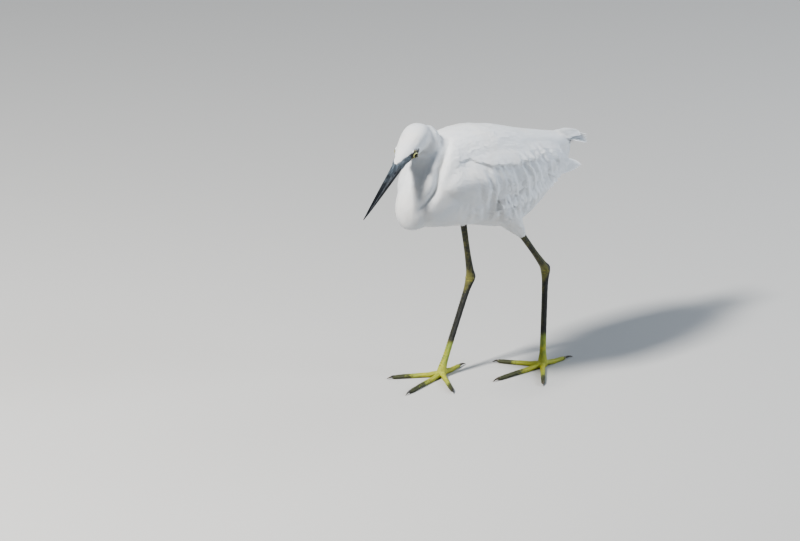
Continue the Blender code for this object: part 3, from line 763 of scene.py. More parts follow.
def featherPiece(name, tiers, *nodes):  # one mesh from one or more tiers of vanes
    points, faces, vane, bake, shown, count = [], [], [], [], [], 0
    for tier in tiers:
        points.append(tier["points"])
        faces.append(tier["faces"] + count)
        vane.append(tier["vane"])
        bake.append(bakeMap(tier["roots"], tier["vane"], tier["each"]))
        shown.append(tier["shown"])
        count += len(tier["points"])
    maps = {"OFBake": np.concatenate(bake), "vane": np.concatenate(vane)}
    points, faces = np.concatenate(points), np.concatenate(faces)
    piece = makePiece(name, points, faces, finishes["plumage"], maps=maps)
    piece.data.normals_split_custom_set(np.concatenate(shown).reshape(-1, 3))
    return settle(piece, *nodes)


def hug(paths, heights, pull=True):  # lays each path over the skin at its height, and never under it
    count, rings = paths.shape[:2]
    normals = np.zeros_like(paths)
    for f in range(count):
        for s in range(rings):
            spot, normal, _, _ = skinTree.find_nearest(Vector(paths[f, s]))
            spot, normal = np.array(spot), np.array(normal)
            height = (paths[f, s] - spot) @ normal
            if height < heights[f, s] or pull:
                paths[f, s] = spot + normal * heights[f, s]
            normals[f, s] = normal
    return paths, normals


def scatter(keep, spacing, tries):  # evenly spread places on the skin, with spacing that varies
    corners = bodyPoints[bodyQuads]
    middle = corners.mean(1)
    area = np.linalg.norm(np.cross(corners[:, 2] - corners[:, 0], corners[:, 3] - corners[:, 1]), axis=1) / 2
    gaps = spacing(middle)
    weight = area * keep(middle, bodyNormals[bodyQuads[:, 0]]) / gaps**2
    picks = rng.choice(len(middle), int(weight.sum() * tries), p=weight / weight.sum())
    mix = rng.dirichlet((1, 1, 1, 1), len(picks))
    places = np.einsum("fk,fki->fi", mix, corners[picks])
    gaps = gaps[picks]
    least, grid, chosen = 0.62 * gaps, {}, []  # the grid's cells are wider than the least distance
    around = list(itertools.product((-1, 0, 1), repeat=3))
    keys = np.floor(places / (0.9 * gaps.max())).astype(int)
    for i, key in enumerate(map(tuple, keys)):
        cells = ((key[0] + dx, key[1] + dy, key[2] + dz) for dx, dy, dz in around)
        near = [j for cell in cells for j in grid.get(cell, ())]
        apart = places[near] - places[i]
        if not near or np.einsum("ij,ij->i", apart, apart).min() >= least[i] ** 2:
            grid.setdefault(key, []).append(i)
            chosen.append(i)
    chosen = np.array(chosen)
    corner = bodyQuads[picks[chosen], 0]
    normals, lie = bodyNormals[corner], bodyLie[corner]
    lie = unit(lie - normals * np.einsum("ij,ij->i", lie, normals)[:, None])
    return places[chosen], normals, lie


# The patch behind and above the eye where the feathers stand ruffled
ruffle = {"back": 36, "long": 9, "up": 0.5, "tall": 5, "rise": 0.55, "tilt": 0.45}


def coat(name, keep, length, shape, rings, settings):  # one region's small feathers
    places, normals, lie = scatter(keep, lambda p: length(p) * settings["gap"], settings["tries"])
    sizes = length(places) * rng.uniform(0.85, 1.15, len(places))
    swirl = ripple(places, settings["swirlSize"], 3.0) * settings["swirl"]
    swirl = swirl + rng.normal(0, settings["stray"], len(places))
    side = np.cross(normals, lie)
    lie = unit(lie * np.cos(swirl)[:, None] + side * np.sin(swirl)[:, None])
    share = np.linspace(0, 1, rings)
    paths = places[:, None] + lie[:, None] * (share[None] * sizes[:, None])[..., None]
    clump = 0.5 + 0.5 * ripple(places, settings["clumpSize"], 9.0)
    rise = settings["rise"] * (0.7 + 0.6 * clump)
    heights = rise[:, None] * share[None] ** 0.8 + rng.uniform(-0.1, 0.1, (len(places), 1)) + 0.02
    back, left, up = inHead(places)
    away = ((back - ruffle["back"]) / ruffle["long"]) ** 2 + ((up - ruffle["up"]) / ruffle["tall"]) ** 2
    ruffled = np.exp(-away) * (abs(left) > 5)
    heights = heights + ruffled[:, None] * ruffle["rise"] * share[None] * rng.uniform(0, 1, (len(places), 1))
    paths, bent = hug(paths, heights)
    tilt = rng.uniform(-1, 1, len(places)) * (settings["tilt"] + ruffle["tilt"] * ruffled)
    thick = np.clip(sizes * 0.012, 0.05, 0.16)
    tier = layVanes(paths, bent, sizes * settings["width"], thick, vaneShapes[shape], heights,
                    np.ones(heights.shape), tilt=tilt, ragged=settings["ragged"], soft=settings["soft"])
    return featherPiece(name, [tier])


featherLengths = {
    "bill": 2.6, "crown": 6.2, "eye": 3.2, "breast": 7.5, "back": 14.0, "thigh": 9.0,
    "inCrease": 0.6,  # the share of their length that they keep in the fold beside the neck
}
headEnds = {"back": 61, "up": -30, "side": 20}
neckEnds = {"outside": 1.5, "rear": -72}


def coatLength(points):  # short on the face, longest on the back
    back, left, up = inHead(points)
    x, y, z = points.T
    onHead = (1 - smooth(back, 56, 66)) * smooth(up, -33, -27)
    s = featherLengths
    faceSize = across(s["bill"], s["crown"], smooth(back, 6, 46))
    eye = np.hypot(back - head["eyeBack"], up - head["eyeUp"])
    faceSize = across(faceSize, s["eye"], 1 - smooth(eye, 7, 13))
    rest = across(s["breast"], s["back"], smooth(y, -108, -60))
    rest = across(rest, s["thigh"], smooth(190 - z, 0, 14))
    rest = rest * across(s["inCrease"], 1.0, smooth(creaseGaps(points, 20).min(1), 4, 16))
    return across(rest, faceSize, onHead)


def region(points):  # which points are on the head and which on the neck
    back, left, up = inHead(points)
    isHead = (back < headEnds["back"]) & (up > headEnds["up"]) & (np.abs(left) < headEnds["side"])
    apart = neckGaps(points, 40)[0].min(1)
    isNeck = ~isHead & (apart < neckEnds["outside"]) & (points[:, 1] < neckEnds["rear"])
    return isHead, isNeck


def keepHead(points, normals):
    isHead, _ = region(points)
    back, left, up = inHead(points)
    eye = np.hypot(back - head["eyeBack"], up - head["eyeUp"])
    return isHead * (bareness(points, 0.3) < 0.4) * (eye > 5.4) * (back > -3)


def keepNeck(points, normals):
    return region(points)[1] * 1.0


parting = 240  # height that parts the back's coat from the belly's


def keepBody(upper, side):
    def keep(points, normals):
        isHead, isNeck = region(points)
        return ~isHead * ~isNeck * ((points[:, 2] > parting) == upper) * (points[:, 0] * side > 0) * 1.0
    return keep


# Gap and width are shares of a feather's length
headCoat = {
    "gap": 0.26, "tries": 2.6, "width": 0.50, "rise": 0.38, "swirl": 0.10, "swirlSize": 14.0,
    "stray": 0.05, "clumpSize": 6.0, "ragged": 0.2, "tilt": 0.08, "soft": 0.72,
}
neckCoat = {
    "gap": 0.20, "tries": 2.4, "width": 0.42, "rise": 0.32, "swirl": 0.10, "swirlSize": 22.0,
    "stray": 0.05, "clumpSize": 9.0, "ragged": 0.25, "tilt": 0.06, "soft": 0.82,
}
bodyCoat = {
    "gap": 0.19, "tries": 2.4, "width": 0.40, "rise": 0.42, "swirl": 0.12, "swirlSize": 34.0,
    "stray": 0.05, "clumpSize": 16.0, "ragged": 0.25, "tilt": 0.10, "soft": 0.84,
}

coat("headCoat", keepHead, coatLength, "tuft", 5, headCoat)
coat("neckCoat", keepNeck, coatLength, "tuft", 5, neckCoat)
for word, side in (("Left", 1), ("Right", -1)):
    coat(f"backCoat{word}", keepBody(True, side), coatLength, "lancet", 6, bodyCoat)
    coat(f"bellyCoat{word}", keepBody(False, side), coatLength, "lancet", 6, bodyCoat)
print("body coat laid")


# Wings: the long tips, the lower edge and the drapes at the rear. The coat covers the rest of them.

# Each row: the lines of its roots and of its tips (x, y, z), how many vanes, their width, height over the skin,
# shape, rings, bow, jitter of the tips, the share of a vane past which it hangs free of the skin, how far its
# edges tilt, and its height at the root as a share of its height
wingRows = {
    "Primaries": {
        "roots": ((36, 24, 246), (34, 40, 244), (30, 58, 242)),
        "tips": ((30, 82, 218), (27, 98, 216.5), (24.5, 111, 216.5), (23.5, 119, 218.5)),
        "count": 9, "width": 9.5, "height": 0.8, "shape": "primary", "rings": 14, "bow": 3.0, "jitter": 0.0,
        "free": 0.45, "tilt": 0.45, "root": -0.2,
    },
    "Secondaries": {
        "roots": ((51, -34, 244), (50, -6, 246), (44, 34, 246), (35, 56, 245)),
        "tips": ((50, -30, 210), (47, 6, 207), (39, 54, 212), (29, 86, 220)),
        "count": 60, "width": 12.0, "height": 1.2, "shape": "plume", "rings": 15, "bow": 1.6, "jitter": 1.1,
        "free": 0.75, "tilt": 0.12, "root": -0.6,
    },
    "Drapes": {
        "roots": ((47, 20, 252), (40, 44, 250), (31, 66, 249)),
        "tips": ((38, 62, 222), (31, 82, 224), (25, 100, 229)),
        "count": 20, "width": 11.0, "height": 1.6, "shape": "plume", "rings": 14, "bow": 1.2, "jitter": 1.0,
        "free": 0.75, "tilt": 0.14, "root": -0.5,
    },
}


wingVanes = {"thick": 0.16, "ragged": 0.07, "soft": 0.9, "uneven": 0.08, "freeing": 0.15}


def makeWing(word, side):
    s, tiers, mirror = wingVanes, [], np.array((side, 1, 1))
    for row in wingRows.values():
        t = (np.arange(row["count"]) + 0.5) / row["count"]
        roots, tips = curveThrough(row["roots"], t), curveThrough(row["tips"], t)
        tips = tips + (tips - roots) * rng.normal(0, row["jitter"] / 30, (len(t), 1))
        share = np.linspace(0, 1, row["rings"])
        path = across((roots * mirror)[:, None], (tips * mirror)[:, None], share[None, :, None])
        path = path + np.array((side, 0, 0.25)) * row["bow"] * np.sin(share * math.pi)[None, :, None]
        lift = row["root"] + (1 - row["root"]) * share ** 0.6
        heights = row["height"] * lift[None] * (0.4 + 0.6 * smooth(t, 0, 0.08))[:, None]
        heights = heights * (1 - 0.35 * smooth(t, 0.86, 1.0))[:, None]
        laid, over = hug(path.copy(), heights)
        loose, _ = hug(path.copy(), heights, pull=False)
        freed = smooth(share, row["free"] - s["freeing"], row["free"] + s["freeing"])[None]
        path = across(laid, loose, freed[..., None])
        over = unit(over + np.array((side * 0.6, 0, 0.1)) * freed[..., None])
        held = np.broadcast_to(1 - freed, heights.shape)
        wide = row["width"] * rng.uniform(1 - s["uneven"], 1 + s["uneven"], len(t))
        thick = np.full(len(t), s["thick"])
        tiers.append(layVanes(path, over, wide, thick, vaneShapes[row["shape"]], heights, held,
                              tilt=row["tilt"] * side, ragged=s["ragged"], soft=s["soft"]))
    featherPiece(f"wing{word}", tiers, f"wing_{word.lower()}")


makeWing("Left", 1)
makeWing("Right", -1)
print("wings feathered")


# Tail: quills in a low roof, with tiers of white coverts over and under them

tail = {
    "root": (0, 100, 253.5), "tip": (0, 151, 239.5), "pairs": 6, "spacing": (1.2, 2.2), "step": 0.6,
    "width": 11.0, "thick": 0.14, "arch": 2.4, "shorter": 2.4, "rings": 14,
}
# Each tier: 1 over the quills or -1 under them, height, start, reach, how many, and their width
tailCoverts = (
    (1, 1.0, 108, 27, 18, 9.0), (1, 1.6, 98, 28, 18, 10.0), (1, 2.0, 86, 28, 16, 11.0),
    (-1, -6.0, 100, 26, 14, 9), (-1, -8.5, 88, 26, 14, 11),
)
covertSpread = {"root": 8, "tip": 3.5, "top": 253.0, "droop": 0.20, "arch": 1.4, "thick": 0.06}


def fanned(roots, tips, arch, over, width, thick, shape, ragged, soft):  # vanes that arch from roots to tips
    count, rings = len(roots), tail["rings"]
    share = np.linspace(0, 1, rings)
    paths = across(roots[:, None], tips[:, None], share[None, :, None])
    paths = paths + np.array((0, 0, arch)) * np.sin(share * math.pi)[None, :, None]
    over = np.repeat(unit(over)[:, None], rings, 1)
    free = np.zeros((count, rings))
    return layVanes(paths, over, np.full(count, float(width)), np.full(count, thick), vaneShapes[shape],
                    free, free, ragged=ragged, soft=soft)


def tailQuills(side):
    s = tail
    pair = np.arange(s["pairs"])[::-1]
    lift = s["step"] * ((pair == 0) * (side > 0) - pair)
    rootGap, tipGap = (side * gap * (pair + 0.5) for gap in s["spacing"])
    roots = np.array(s["root"]) + np.stack([rootGap, 0 * pair, lift], 1)
    tips = np.array(s["tip"]) + np.stack([tipGap, -s["shorter"] * pair, lift], 1)
    over = np.stack([side * 0.08 * pair, 0.2 + 0 * pair, 1 + 0 * pair], 1)
    return fanned(roots, tips, s["arch"], over, s["width"], s["thick"], "quill", 0.04, 0.7)


def tailTier(way, lift, start, reach, count, width):
    s = covertSpread
    spread = (np.arange(count) + 0.5) / count * 2 - 1
    spread = spread[np.argsort(-abs(spread))]
    height = s["top"] + lift - 2.5 * spread**2 + way * 0.05 * np.arange(count)
    roots = np.stack([spread * s["root"], np.full(count, float(start)), height], 1)
    tips = roots + np.stack([spread * s["tip"], reach - 5 * spread**2, -s["droop"] * reach + 0 * spread], 1)
    over = np.stack([spread * 0.5, 0.2 + 0 * spread, way + 0 * spread], 1)
    return fanned(roots, tips, s["arch"] * way, over, width, s["thick"], "plume", 0.06, 1.0)


def makeTail():
    tiers = [tailQuills(side) for side in (1, -1)] + [tailTier(*row) for row in tailCoverts]
    featherPiece("tailFeathers", tiers, "tail")


makeTail()
print("tail feathered")


# Bill

bill = {
    "length": 87.0, "start": 2.5, "depth": 12.3, "width": 10.4, "mouth": -7.0, "lowerShorter": 1.5, "tip": 0.3,
    "rings": 90, "sides": 25, "rim": 0.12, "ridge": 0.25,
    # the nostril's slit and the groove that it lies in: height, half height, and the slit's middle and length
    "grooveUp": 3.6, "grooveTall": 0.8, "slitTall": 0.5, "slitAt": 15.5, "slitLong": 4.2, "grooveEnd": 46,
}


def billRing(t, way, depth, reach):  # one half's outline at a share of its length, and its values
    s = bill
    turn = np.linspace(0, math.pi, s["sides"])
    taper = (1 - t) ** 0.85
    mouth = s["mouth"] * (1 - t) ** 0.9 - 0.9 * t
    wide = (s["width"] / 2 - s["tip"]) * taper + s["tip"]
    tall = (depth - 0.35) * taper + s["tip"]
    out = s["start"] + (reach - s["start"]) * t
    lift = np.sin(turn) ** 0.85 * tall
    off = lift - s["grooveUp"]
    slit = np.exp(-((out - s["slitAt"]) / s["slitLong"]) ** 4) * np.exp(-(off / s["slitTall"]) ** 2) * (way > 0)
    groove = np.exp(-(off / s["grooveTall"]) ** 2) * smooth(s["grooveEnd"] - out, 0, 30) * (way > 0)
    sideways = np.cos(turn) * wide * (1 - 0.20 * slit - 0.07 * groove)
    ridge = s["ridge"] * np.exp(-((turn - math.pi / 2) / 0.16) ** 2) * (1 - t)
    points = onHead(np.full(s["sides"], -out), sideways, mouth + way * (lift + ridge + s["rim"]))
    rise = lift * way + 0.35 * np.abs(turn - math.pi / 2)
    return points, np.full(s["sides"], out), rise, turn * 3.4


def makeBill():
    s = bill
    for name, node, way, depth, reach in (
            ("billUpper", "bill_upper", 1, -s["mouth"], s["length"]),
            ("billLower", "bill_lower", -1, s["depth"] + s["mouth"], s["length"] - s["lowerShorter"])):
        rings = [billRing(t, way, depth, reach) for t in np.linspace(0, 1, s["rings"])]
        rings, along, rise, around = (np.array(rows) for rows in zip(*rings))
        points = ringPoints(rings)
        faces = outward(points, ringFaces(s["rings"], s["sides"]))
        values = {"along": (along, s["start"], reach), "rise": (rise, 0, 0), "round": (around, 0, 0)}
        values = {key: np.append(some.ravel(), ends) for key, (some, *ends) in values.items()}
        settle(makePiece(name, points, faces, finishes["bill"], values=values, sharp=50), node)


makeBill()


# Eyes and lids

eyeBall = {"rings": 40, "sides": 56, "bulge": 0.05, "bulgeWide": 0.55}
lids = {  # the collar's section: distance from the eye's axis and height along it
    "section": ((3.45, 3.46), (3.55, 3.78), (3.78, 3.82), (4.05, 3.48), (4.5, 2.7), (4.9, 1.7),
                (5.2, 0.6), (5.3, 0.0), (4.8, 0.0), (4.5, 1.6), (3.9, 2.7)),
    "count": 64, "tilt": 0.42, "drop": 0.35, "longer": 0.07, "wrinkle": 0.012, "wrinkles": 17,
}


def makeEye(word, centre, axis, first, second):
    s, radius = eyeBall, head["eyeRadius"]
    angle = np.linspace(0, math.pi, s["rings"] + 2)[1:-1]
    turn = turns(s["sides"])
    direction = (np.cos(angle)[:, None, None] * axis + np.sin(angle)[:, None, None] * (
        np.cos(turn)[None, :, None] * first + np.sin(turn)[None, :, None] * second))
    bulge = 1 + s["bulge"] * np.exp(-(angle / s["bulgeWide"]) ** 2)[:, None, None]
    points = ringPoints(centre + direction * radius * bulge)
    points[-2] = centre + axis * radius * (1 + s["bulge"])
    points[-1] = centre - axis * radius
    faces = outward(points, ringFaces(s["rings"], s["sides"]))
    off = points - centre
    fromAxis = np.linalg.norm(off - np.outer(off @ axis, axis), axis=1) + 20.0 * (off @ axis < 0)
    piece = makePiece(f"eye{word}", points, faces, finishes["eye"], values={"fromAxis": fromAxis})
    settle(piece, f"eye_{word.lower()}")


def makeLid(word, centre, axis, first, second):  # a collar round the eye, drawn out a little fore and aft
    s, points, rims, feathered = lids, [], [], []
    n = len(s["section"])
    for a in turns(s["count"]):
        away = first * math.cos(a) + second * math.sin(a)
        fore = abs(away @ ahead) ** 6
        for k, (reach, height) in enumerate(s["section"]):
            wrinkle = 1 + s["wrinkle"] * math.sin(a * s["wrinkles"] + k) * (2 < k < 7)
            out = away * reach * wrinkle * (1 + s["longer"] * fore)
            points.append(centre + axis * (height - s["drop"] * fore) + out)
            rims.append(k < 4 or (away @ ahead > 0.3 and away @ upward > -0.2))
            feathered.append(k in (6, 7, 8) and away @ ahead < 0.5)
    points = np.array(points)
    i, k = np.meshgrid(np.arange(s["count"]), np.arange(n), indexing="ij")
    j, m = (i + 1) % s["count"], (k + 1) % n
    quads = np.stack([i * n + k, i * n + m, j * n + m, j * n + k], -1).reshape(-1, 4)
    corner = points[quads[0]]
    if np.cross(corner[1] - corner[0], corner[3] - corner[0]) @ (corner[0] - points[:n].mean(0)) < 0:
        quads = quads[:, ::-1]
    values = {"bare": 1.0 - np.array(feathered), "olive": np.full(len(points), 0.85),
              "dark": 0.45 + 0.55 * np.array(rims)}
    settle(makePiece(f"lid{word}", points, quads, finishes["skin"], values=values))


def makeEyes():
    for word, side in (("Left", 1), ("Right", -1)):
        axis = unit(leftward * side + ahead * lids["tilt"] - upward * 0.04)
        centre = onHead(head["eyeBack"], side * head["eyeSide"], head["eyeUp"])
        first = unit(np.cross(axis, upward))
        second = np.cross(axis, first)
        makeEye(word, centre, axis, first, second)
        makeLid(word, centre, axis, first, second)


makeEyes()
print("head finished")


# Legs and feet

legs = {
    "Left": {"side": 1, "bare": (30, 19, 163), "hock": (30, 56, 115), "foot": (30, 52, 8),
             "toes": {"inner": -60, "middle": -4, "outer": 45, "hind": 178}},
    "Right": {"side": -1, "bare": (-28, -14, 171), "hock": (-30, 0, 104), "foot": (-28, -47, 8),
              "toes": {"inner": 58, "middle": 12, "outer": -36, "hind": 190}},
}
# Each toe: length, number of joints, and its claw's length
toes = {"inner": (48, 3, 9), "middle": (62, 4, 11), "outer": (52, 5, 9), "hind": (32, 2, 14)}
legSizes = {
    "voxel": 0.55, "passes": 3, "tarsus": 3.2, "toe": 2.9, "scute": 0.28, "toeScute": 2.3, "knob": 0.30,
    "flat": 0.35,  # what is lower than this rests on the floor
}


def scuteRidges(length, pitch, depth, front):  # overlapping shields down the front of a shank or along a toe
    def shape(t, turn):
        slope = (t * length / pitch) % 1.0
        facing = np.clip(np.cos(turn - front), 0, 1) ** 0.6
        return depth * (slope - 0.5) * facing
    return shape


def shieldTree():  # puts a flat rounded shield on each point, turned and sized by the point
    tree = bpy.data.node_groups.new("shields", "GeometryNodeTree")
    face = tree.interface
    face.new_socket("Geometry", in_out="INPUT", socket_type="NodeSocketGeometry")
    face.new_socket("Roundness", in_out="INPUT", socket_type="NodeSocketInt")
    face.new_socket("Thickness", in_out="INPUT", socket_type="NodeSocketFloat")
    face.new_socket("Finish", in_out="INPUT", socket_type="NodeSocketMaterial")
    face.new_socket("Geometry", in_out="OUTPUT", socket_type="NodeSocketGeometry")
    made = {name: tree.nodes.new(kind) for name, kind in (
        ("in", "NodeGroupInput"), ("ball", "GeometryNodeMeshIcoSphere"),
        ("size", "GeometryNodeInputNamedAttribute"), ("turn", "GeometryNodeInputNamedAttribute"),
        ("euler", "FunctionNodeEulerToRotation"), ("flat", "ShaderNodeVectorMath"),
        ("thin", "ShaderNodeCombineXYZ"), ("lay", "GeometryNodeInstanceOnPoints"),
        ("real", "GeometryNodeRealizeInstances"), ("soft", "GeometryNodeSetShadeSmooth"),
        ("paint", "GeometryNodeSetMaterial"), ("out", "NodeGroupOutput"))}
    for name in ("size", "turn"):
        made[name].data_type = "FLOAT_VECTOR"
        made[name].inputs["Name"].default_value = name
    made["flat"].operation = "MULTIPLY"
    made["thin"].inputs[0].default_value = 1.0
    made["thin"].inputs[1].default_value = 1.0
    made["ball"].inputs["Radius"].default_value = 1.0
    for start, socket, end, place in (
            ("in", "Roundness", "ball", "Subdivisions"), ("in", "Thickness", "thin", 2),
            ("in", "Geometry", "lay", "Points"), ("size", "Attribute", "flat", 0), ("thin", 0, "flat", 1),
            ("turn", "Attribute", "euler", 0), ("ball", "Mesh", "lay", "Instance"),
            ("euler", 0, "lay", "Rotation"), ("flat", 0, "lay", "Scale"),
            ("lay", "Instances", "real", "Geometry"), ("real", "Geometry", "soft", "Geometry"),
            ("soft", "Geometry", "paint", "Geometry"), ("in", "Finish", "paint", "Material"),
            ("paint", "Geometry", "out", "Geometry")):
        tree.links.new(made[start].outputs[socket], made[end].inputs[place])
    return tree


def layShields(name, spots, turns, sizes, measure):  # one plain mesh of shields for one leg
    holder = bpy.data.objects.new(name + "Spots", bpy.data.meshes.new(name + "Spots"))
    bpy.context.scene.collection.objects.link(holder)
    holder.data.from_pydata([tuple((p + toFrame) * mm) for p in spots], [], [])
    for key, rows in (("turn", turns), ("size", np.asarray(sizes) * mm)):
        attribute = holder.data.attributes.new(key, "FLOAT_VECTOR", "POINT")
        attribute.data.foreach_set("vector", np.asarray(rows, np.float32).ravel())
    grower = holder.modifiers.new("shields", "NODES")
    grower.node_group = shields
    given = {"Roundness": shieldSizes["roundness"], "Thickness": 1.0, "Finish": finishes["leg"]}
    for item in shields.interface.items_tree:
        if item.in_out == "INPUT" and item.name in given:
            grower[item.identifier] = given[item.name]
    grown = holder.evaluated_get(bpy.context.evaluated_depsgraph_get())
    mesh = bpy.data.meshes.new_from_object(grown)
    holder.modifiers.remove(grower)
    bpy.data.objects.remove(holder)
    mesh.name = name
    points = np.array([v.co for v in mesh.vertices]) / mm - toFrame
    for key, value in measure(points).items():
        attribute = mesh.attributes.new(key, "FLOAT", "POINT")
        attribute.data.foreach_set("value", np.asarray(value, np.float32))
    piece = bpy.data.objects.new(name, mesh)
    bpy.context.scene.collection.objects.link(piece)
    return settle(piece)


shields = shieldTree()
shieldSizes = {
    "gap": 2.9, "long": 1.9, "wide": 1.75, "toeGap": 2.2, "toeLong": 1.45, "toeWide": 1.35, "thick": 0.34,
    "slope": 0.12, "sink": 0.16, "roundness": 3,
}


def turnOf(along, up):  # the turn that points a shield's length along and its face up
    along = unit(along)
    up = unit(up - along * (up @ along))
    aside = np.cross(up, along)
    return Matrix((aside, along, up)).transposed().to_euler()


def shieldRow(path, outside, gap, long, wide, tree):  # shields over a path, on the side that faces outside
    spots, turns, sizes = [], [], []
    total = np.linalg.norm(np.diff(path, axis=0), axis=1).sum()
    share = (np.arange(int(total / gap)) + 0.5) / int(total / gap)
    at = np.interp(share, np.linspace(0, 1, len(path)), np.arange(len(path)))
    middle = np.stack([np.interp(at, np.arange(len(path)), column) for column in path.T], 1)
    for k, spot in enumerate(middle):
        hit, normal, _, _ = tree.ray_cast(Vector(spot + outside * 14), Vector(-outside))
        if hit is None:
            continue
        step = int(at[k])
        along = unit(path[min(step + 1, len(path) - 1)] - path[step])
        normal = unit(np.array(normal))
        tipped = unit(normal - along * shieldSizes["slope"])
        turns.append(turnOf(along, tipped))
        spots.append(np.array(hit) - normal * shieldSizes["sink"])
        sizes.append((wide, long, shieldSizes["thick"]))
    return spots, turns, sizes


def toeWay(degrees):
    heading = math.radians(degrees)
    return np.array((math.sin(heading), -math.cos(heading), 0))


def legBones(bare, hock, foot, down, toFoot):  # shin, shank and the two knobs of the hock
    s = legSizes
    shin = [(*(bare - down * 8), 3.4), (*bare, 3.6), (*across(bare, hock, 0.5), 3.3),
            (*across(bare, hock, 0.84), 4.1), (*hock, 5.4), (*(hock + down * 3.5), 3.2)]
    shank = [(*(hock - toFoot * 3.5), 3.4), (*(hock + toFoot * 1.5), 5.2), (*(hock + toFoot * 9), 4.3),
             (*(hock + toFoot * 20), 3.4), (*across(hock, foot, 0.55), s["tarsus"]),
             (*across(hock, foot, 0.86), 3.5), (*(foot - toFoot * 3), 4.6), (*(foot + (0, 0, -3.5)), 5.6),
             (*(foot + (0, 0, -7.4)), 4.4)]
    length = np.linalg.norm(foot - hock)
    parts = [limb(shin, 90, 30, scuteRidges(50, 3.2, s["scute"] * 0.7, -math.pi / 2)),
             limb(shank, 190, 34, scuteRidges(length, 3.3, s["scute"], -math.pi / 2))]
    for k in (1, -1):
        knob = hock + np.array((2.5 * k, -0.6, 0))
        stations = [(*(knob - down * 2.5), 2.0), (*(knob + toFoot * 1.5), 3.7), (*(knob + toFoot * 6), 2.0)]
        parts.append(limb(stations, 30, 24))
    return parts


def toeLimb(floor, way, long, joints):  # a toe along the floor, with a pad under each joint
    s = legSizes
    rise = s["toe"] * 0.9
    path = [(*(floor + way * out + (0, 0, rise + up)), radius) for out, up, radius in (
        (-1.0, 2.2, 3.0), (6, 1.0, 3.0), (15, 0, 2.75), (long * 0.6, -0.2, 2.5), (long, -0.5, 2.15),
        (long + 2.2, -0.8, 1.2))]

    def pads(t, turn):
        knob = s["knob"] * np.cos(2 * math.pi * t * joints) * np.clip(-np.sin(turn), -0.3, 1)
        slope = (t * long / s["toeScute"]) % 1.0
        return knob + s["scute"] * (slope - 0.5) * np.clip(np.sin(turn), 0, 1) ** 0.6

    return limb(path, 110, 22, pads, (0, 0, -1.0))


def clawShape(base, way, long, radius):  # a claw that bends down to its tip
    rings, sides, up = 18, 14, np.array((0, 0, 1.0))
    t, turn = np.linspace(0, 1, rings), turns(sides)
    arch = 0.55 * radius * np.sin(math.pi * t) - 0.9 * radius * t * t
    path = base + way * (long * t)[:, None] + up * arch[:, None]
    girth = radius * 1.05 * (1 - t) ** 0.75 + 0.12
    aside = np.cross(way, up)
    shape = path[:, None] + girth[:, None, None] * (
        0.72 * np.cos(turn)[None, :, None] * aside + np.sin(turn)[None, :, None] * up)
    shape[..., 2] = np.maximum(shape[..., 2], 0)
    points = ringPoints(shape)
    return points, outward(points, ringFaces(rings, sides))


def makeLeg(word, leg):
    s, z, low = legSizes, shieldSizes, word.lower()
    bare, hock, foot = (np.array(leg[k], float) for k in ("bare", "hock", "foot"))
    down, toFoot = unit(hock - bare), unit(foot - hock)
    floor = np.array((foot[0], foot[1], 0.0))
    ways = {name: toeWay(degrees) for name, degrees in leg["toes"].items()}
    parts = legBones(bare, hock, foot, down, toFoot)
    parts += [toeLimb(floor, way, *toes[name][:2]) for name, way in ways.items()]
    points, quads = melted(parts, s["voxel"], s["passes"])
    points[points[:, 2] < s["flat"], 2] = 0.0

    def measure(points):  # how far out on a toe, to the front and near the hock each point is
        fromFoot = np.hypot(points[:, 0] - foot[0], points[:, 1] - foot[1])
        axis = foot - hock
        share = np.clip((points - hock) @ axis / (axis @ axis), 0, 1)
        front = np.clip(-(points - hock - share[:, None] * axis)[:, 1] / 4.0, -1, 1)
        fromHock = np.linalg.norm(points - hock - toFoot * 2, axis=1)
        knee = np.exp(-(fromHock / 11.0) ** 2) * (0.4 + 0.6 * (front > 0))
        return {"toe": smooth(fromFoot, 10, 60) * (points[:, 2] < 12), "front": front, "knee": knee}

    piece = makePiece(f"leg{word}", points, quads, finishes["leg"], values=measure(points))
    settle(piece, f"shin_{low}", f"shank_{low}", f"foot_{low}", *(f"toe_{name}_{low}" for name in toes))
    tree = BVHTree.FromPolygons([tuple(p) for p in points], quads.tolist())
    front = unit(np.array((0, -1.0, 0)) + toFoot * toFoot[1])
    path = across(hock + toFoot * 3, foot - toFoot * 2, np.linspace(0, 1, 40)[:, None])
    rows = [shieldRow(path, front, z["gap"], z["long"], z["wide"], tree)]
    for name, way in ways.items():
        path = np.array((foot[0], foot[1], 2.0)) + way * np.linspace(7, toes[name][0] - 1, 40)[:, None]
        rows.append(shieldRow(path, np.array((0, 0, 1.0)), z["toeGap"], z["toeLong"], z["toeWide"], tree))
    layShields(f"shields{word}", *(sum((row[k] for row in rows), []) for k in range(3)), measure)
    claws = []
    for name, way in ways.items():
        long, _, clawLength = toes[name]
        base = floor + way * (long - 1.2) + (0, 0, s["toe"] * 0.9 - 0.5)
        claws.append(clawShape(base, way, clawLength + 1.5, s["toe"] * 0.62))
    points, faces = joined(claws)
    piece = makePiece(f"claws{word}", points, faces, finishes["claw"])
    settle(piece, *(f"claw_{name}_{low}" for name in toes))


for word, leg in legs.items():
    makeLeg(word, leg)
print("legs finished")


# Floor, light and camera

studio = {
    "azimuth": 45.0, "elevation": 20.0, "lens": 500.0, "sensor": 36.0, "frameWidth": 800 * 1.10,
    "target": (-97.0, -43.0, 104.9), "floorHalf": 6.0, "floor": (0.43, 0.43, 0.425, 1),
    "sky": (0.62, 0.78, 1.0, 1), "skyStrength": 0.22, "look": "AgX - Medium High Contrast",
}
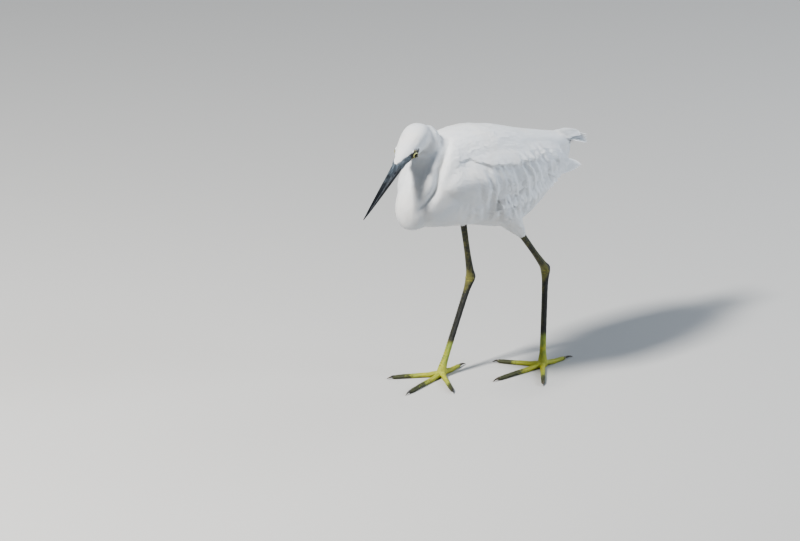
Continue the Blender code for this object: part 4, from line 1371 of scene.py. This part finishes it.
# Each lamp: place in metres, size, power and colour
lamps = {
    "key": ((-0.22, -1.50, 1.95), 0.34, 118.0, (1.0, 0.965, 0.91)),
    "fill": ((1.5, 1.3, 0.95), 0.7, 26.0, (0.85, 0.92, 1.0)),
    "rim": ((0.2, 1.8, 1.3), 1.0, 12.0, (0.95, 0.97, 1.0)),
}


def makeFloor():
    mesh = bpy.data.meshes.new("floor")
    far = studio["floorHalf"]
    mesh.from_pydata([(-far, -far, 0), (far, -far, 0), (far, far, 0), (-far, far, 0)], [], [(0, 1, 2, 3)])
    floor = bpy.data.objects.new("floor", mesh)
    bpy.context.scene.collection.objects.link(floor)
    f = Finish("floor", 0.8)
    f.shader.inputs["Base Color"].default_value = studio["floor"]
    mesh.materials.append(f.material)


def makeLight(target):
    world = bpy.data.worlds.new("studio")
    bpy.context.scene.world = world
    bpy.context.scene.view_settings.look = studio["look"]
    world.use_nodes = True
    sky = world.node_tree.nodes["Background"]
    sky.inputs["Color"].default_value = studio["sky"]
    sky.inputs["Strength"].default_value = studio["skyStrength"]
    for name, (place, size, power, colour) in lamps.items():
        light = bpy.data.lights.new(name, "AREA")
        light.size, light.energy, light.color = size, power, colour
        lamp = bpy.data.objects.new(name, light)
        bpy.context.scene.collection.objects.link(lamp)
        lamp.location = place
        lamp.rotation_euler = (target - lamp.location).to_track_quat("-Z", "Y").to_euler()


def makeCamera(target):
    s = studio
    camera = bpy.data.cameras.new("camera")
    camera.lens, camera.sensor_width = s["lens"], s["sensor"]
    camera.clip_end = 60.0
    eye = bpy.data.objects.new("camera", camera)
    bpy.context.scene.collection.objects.link(eye)
    a, e = math.radians(s["azimuth"]), math.radians(s["elevation"])
    away = Vector((math.sin(a) * math.cos(e), -math.cos(a) * math.cos(e), math.sin(e)))
    eye.location = target + away * (s["frameWidth"] * mm * s["lens"] / s["sensor"])
    eye.rotation_euler = away.to_track_quat("Z", "Y").to_euler()
    bpy.context.scene.camera = eye


def makeStudio():
    target = Vector((np.array(studio["target"]) + toFrame) * mm)
    makeFloor()
    makeLight(target)
    makeCamera(target)


makeStudio()
print("studio set")
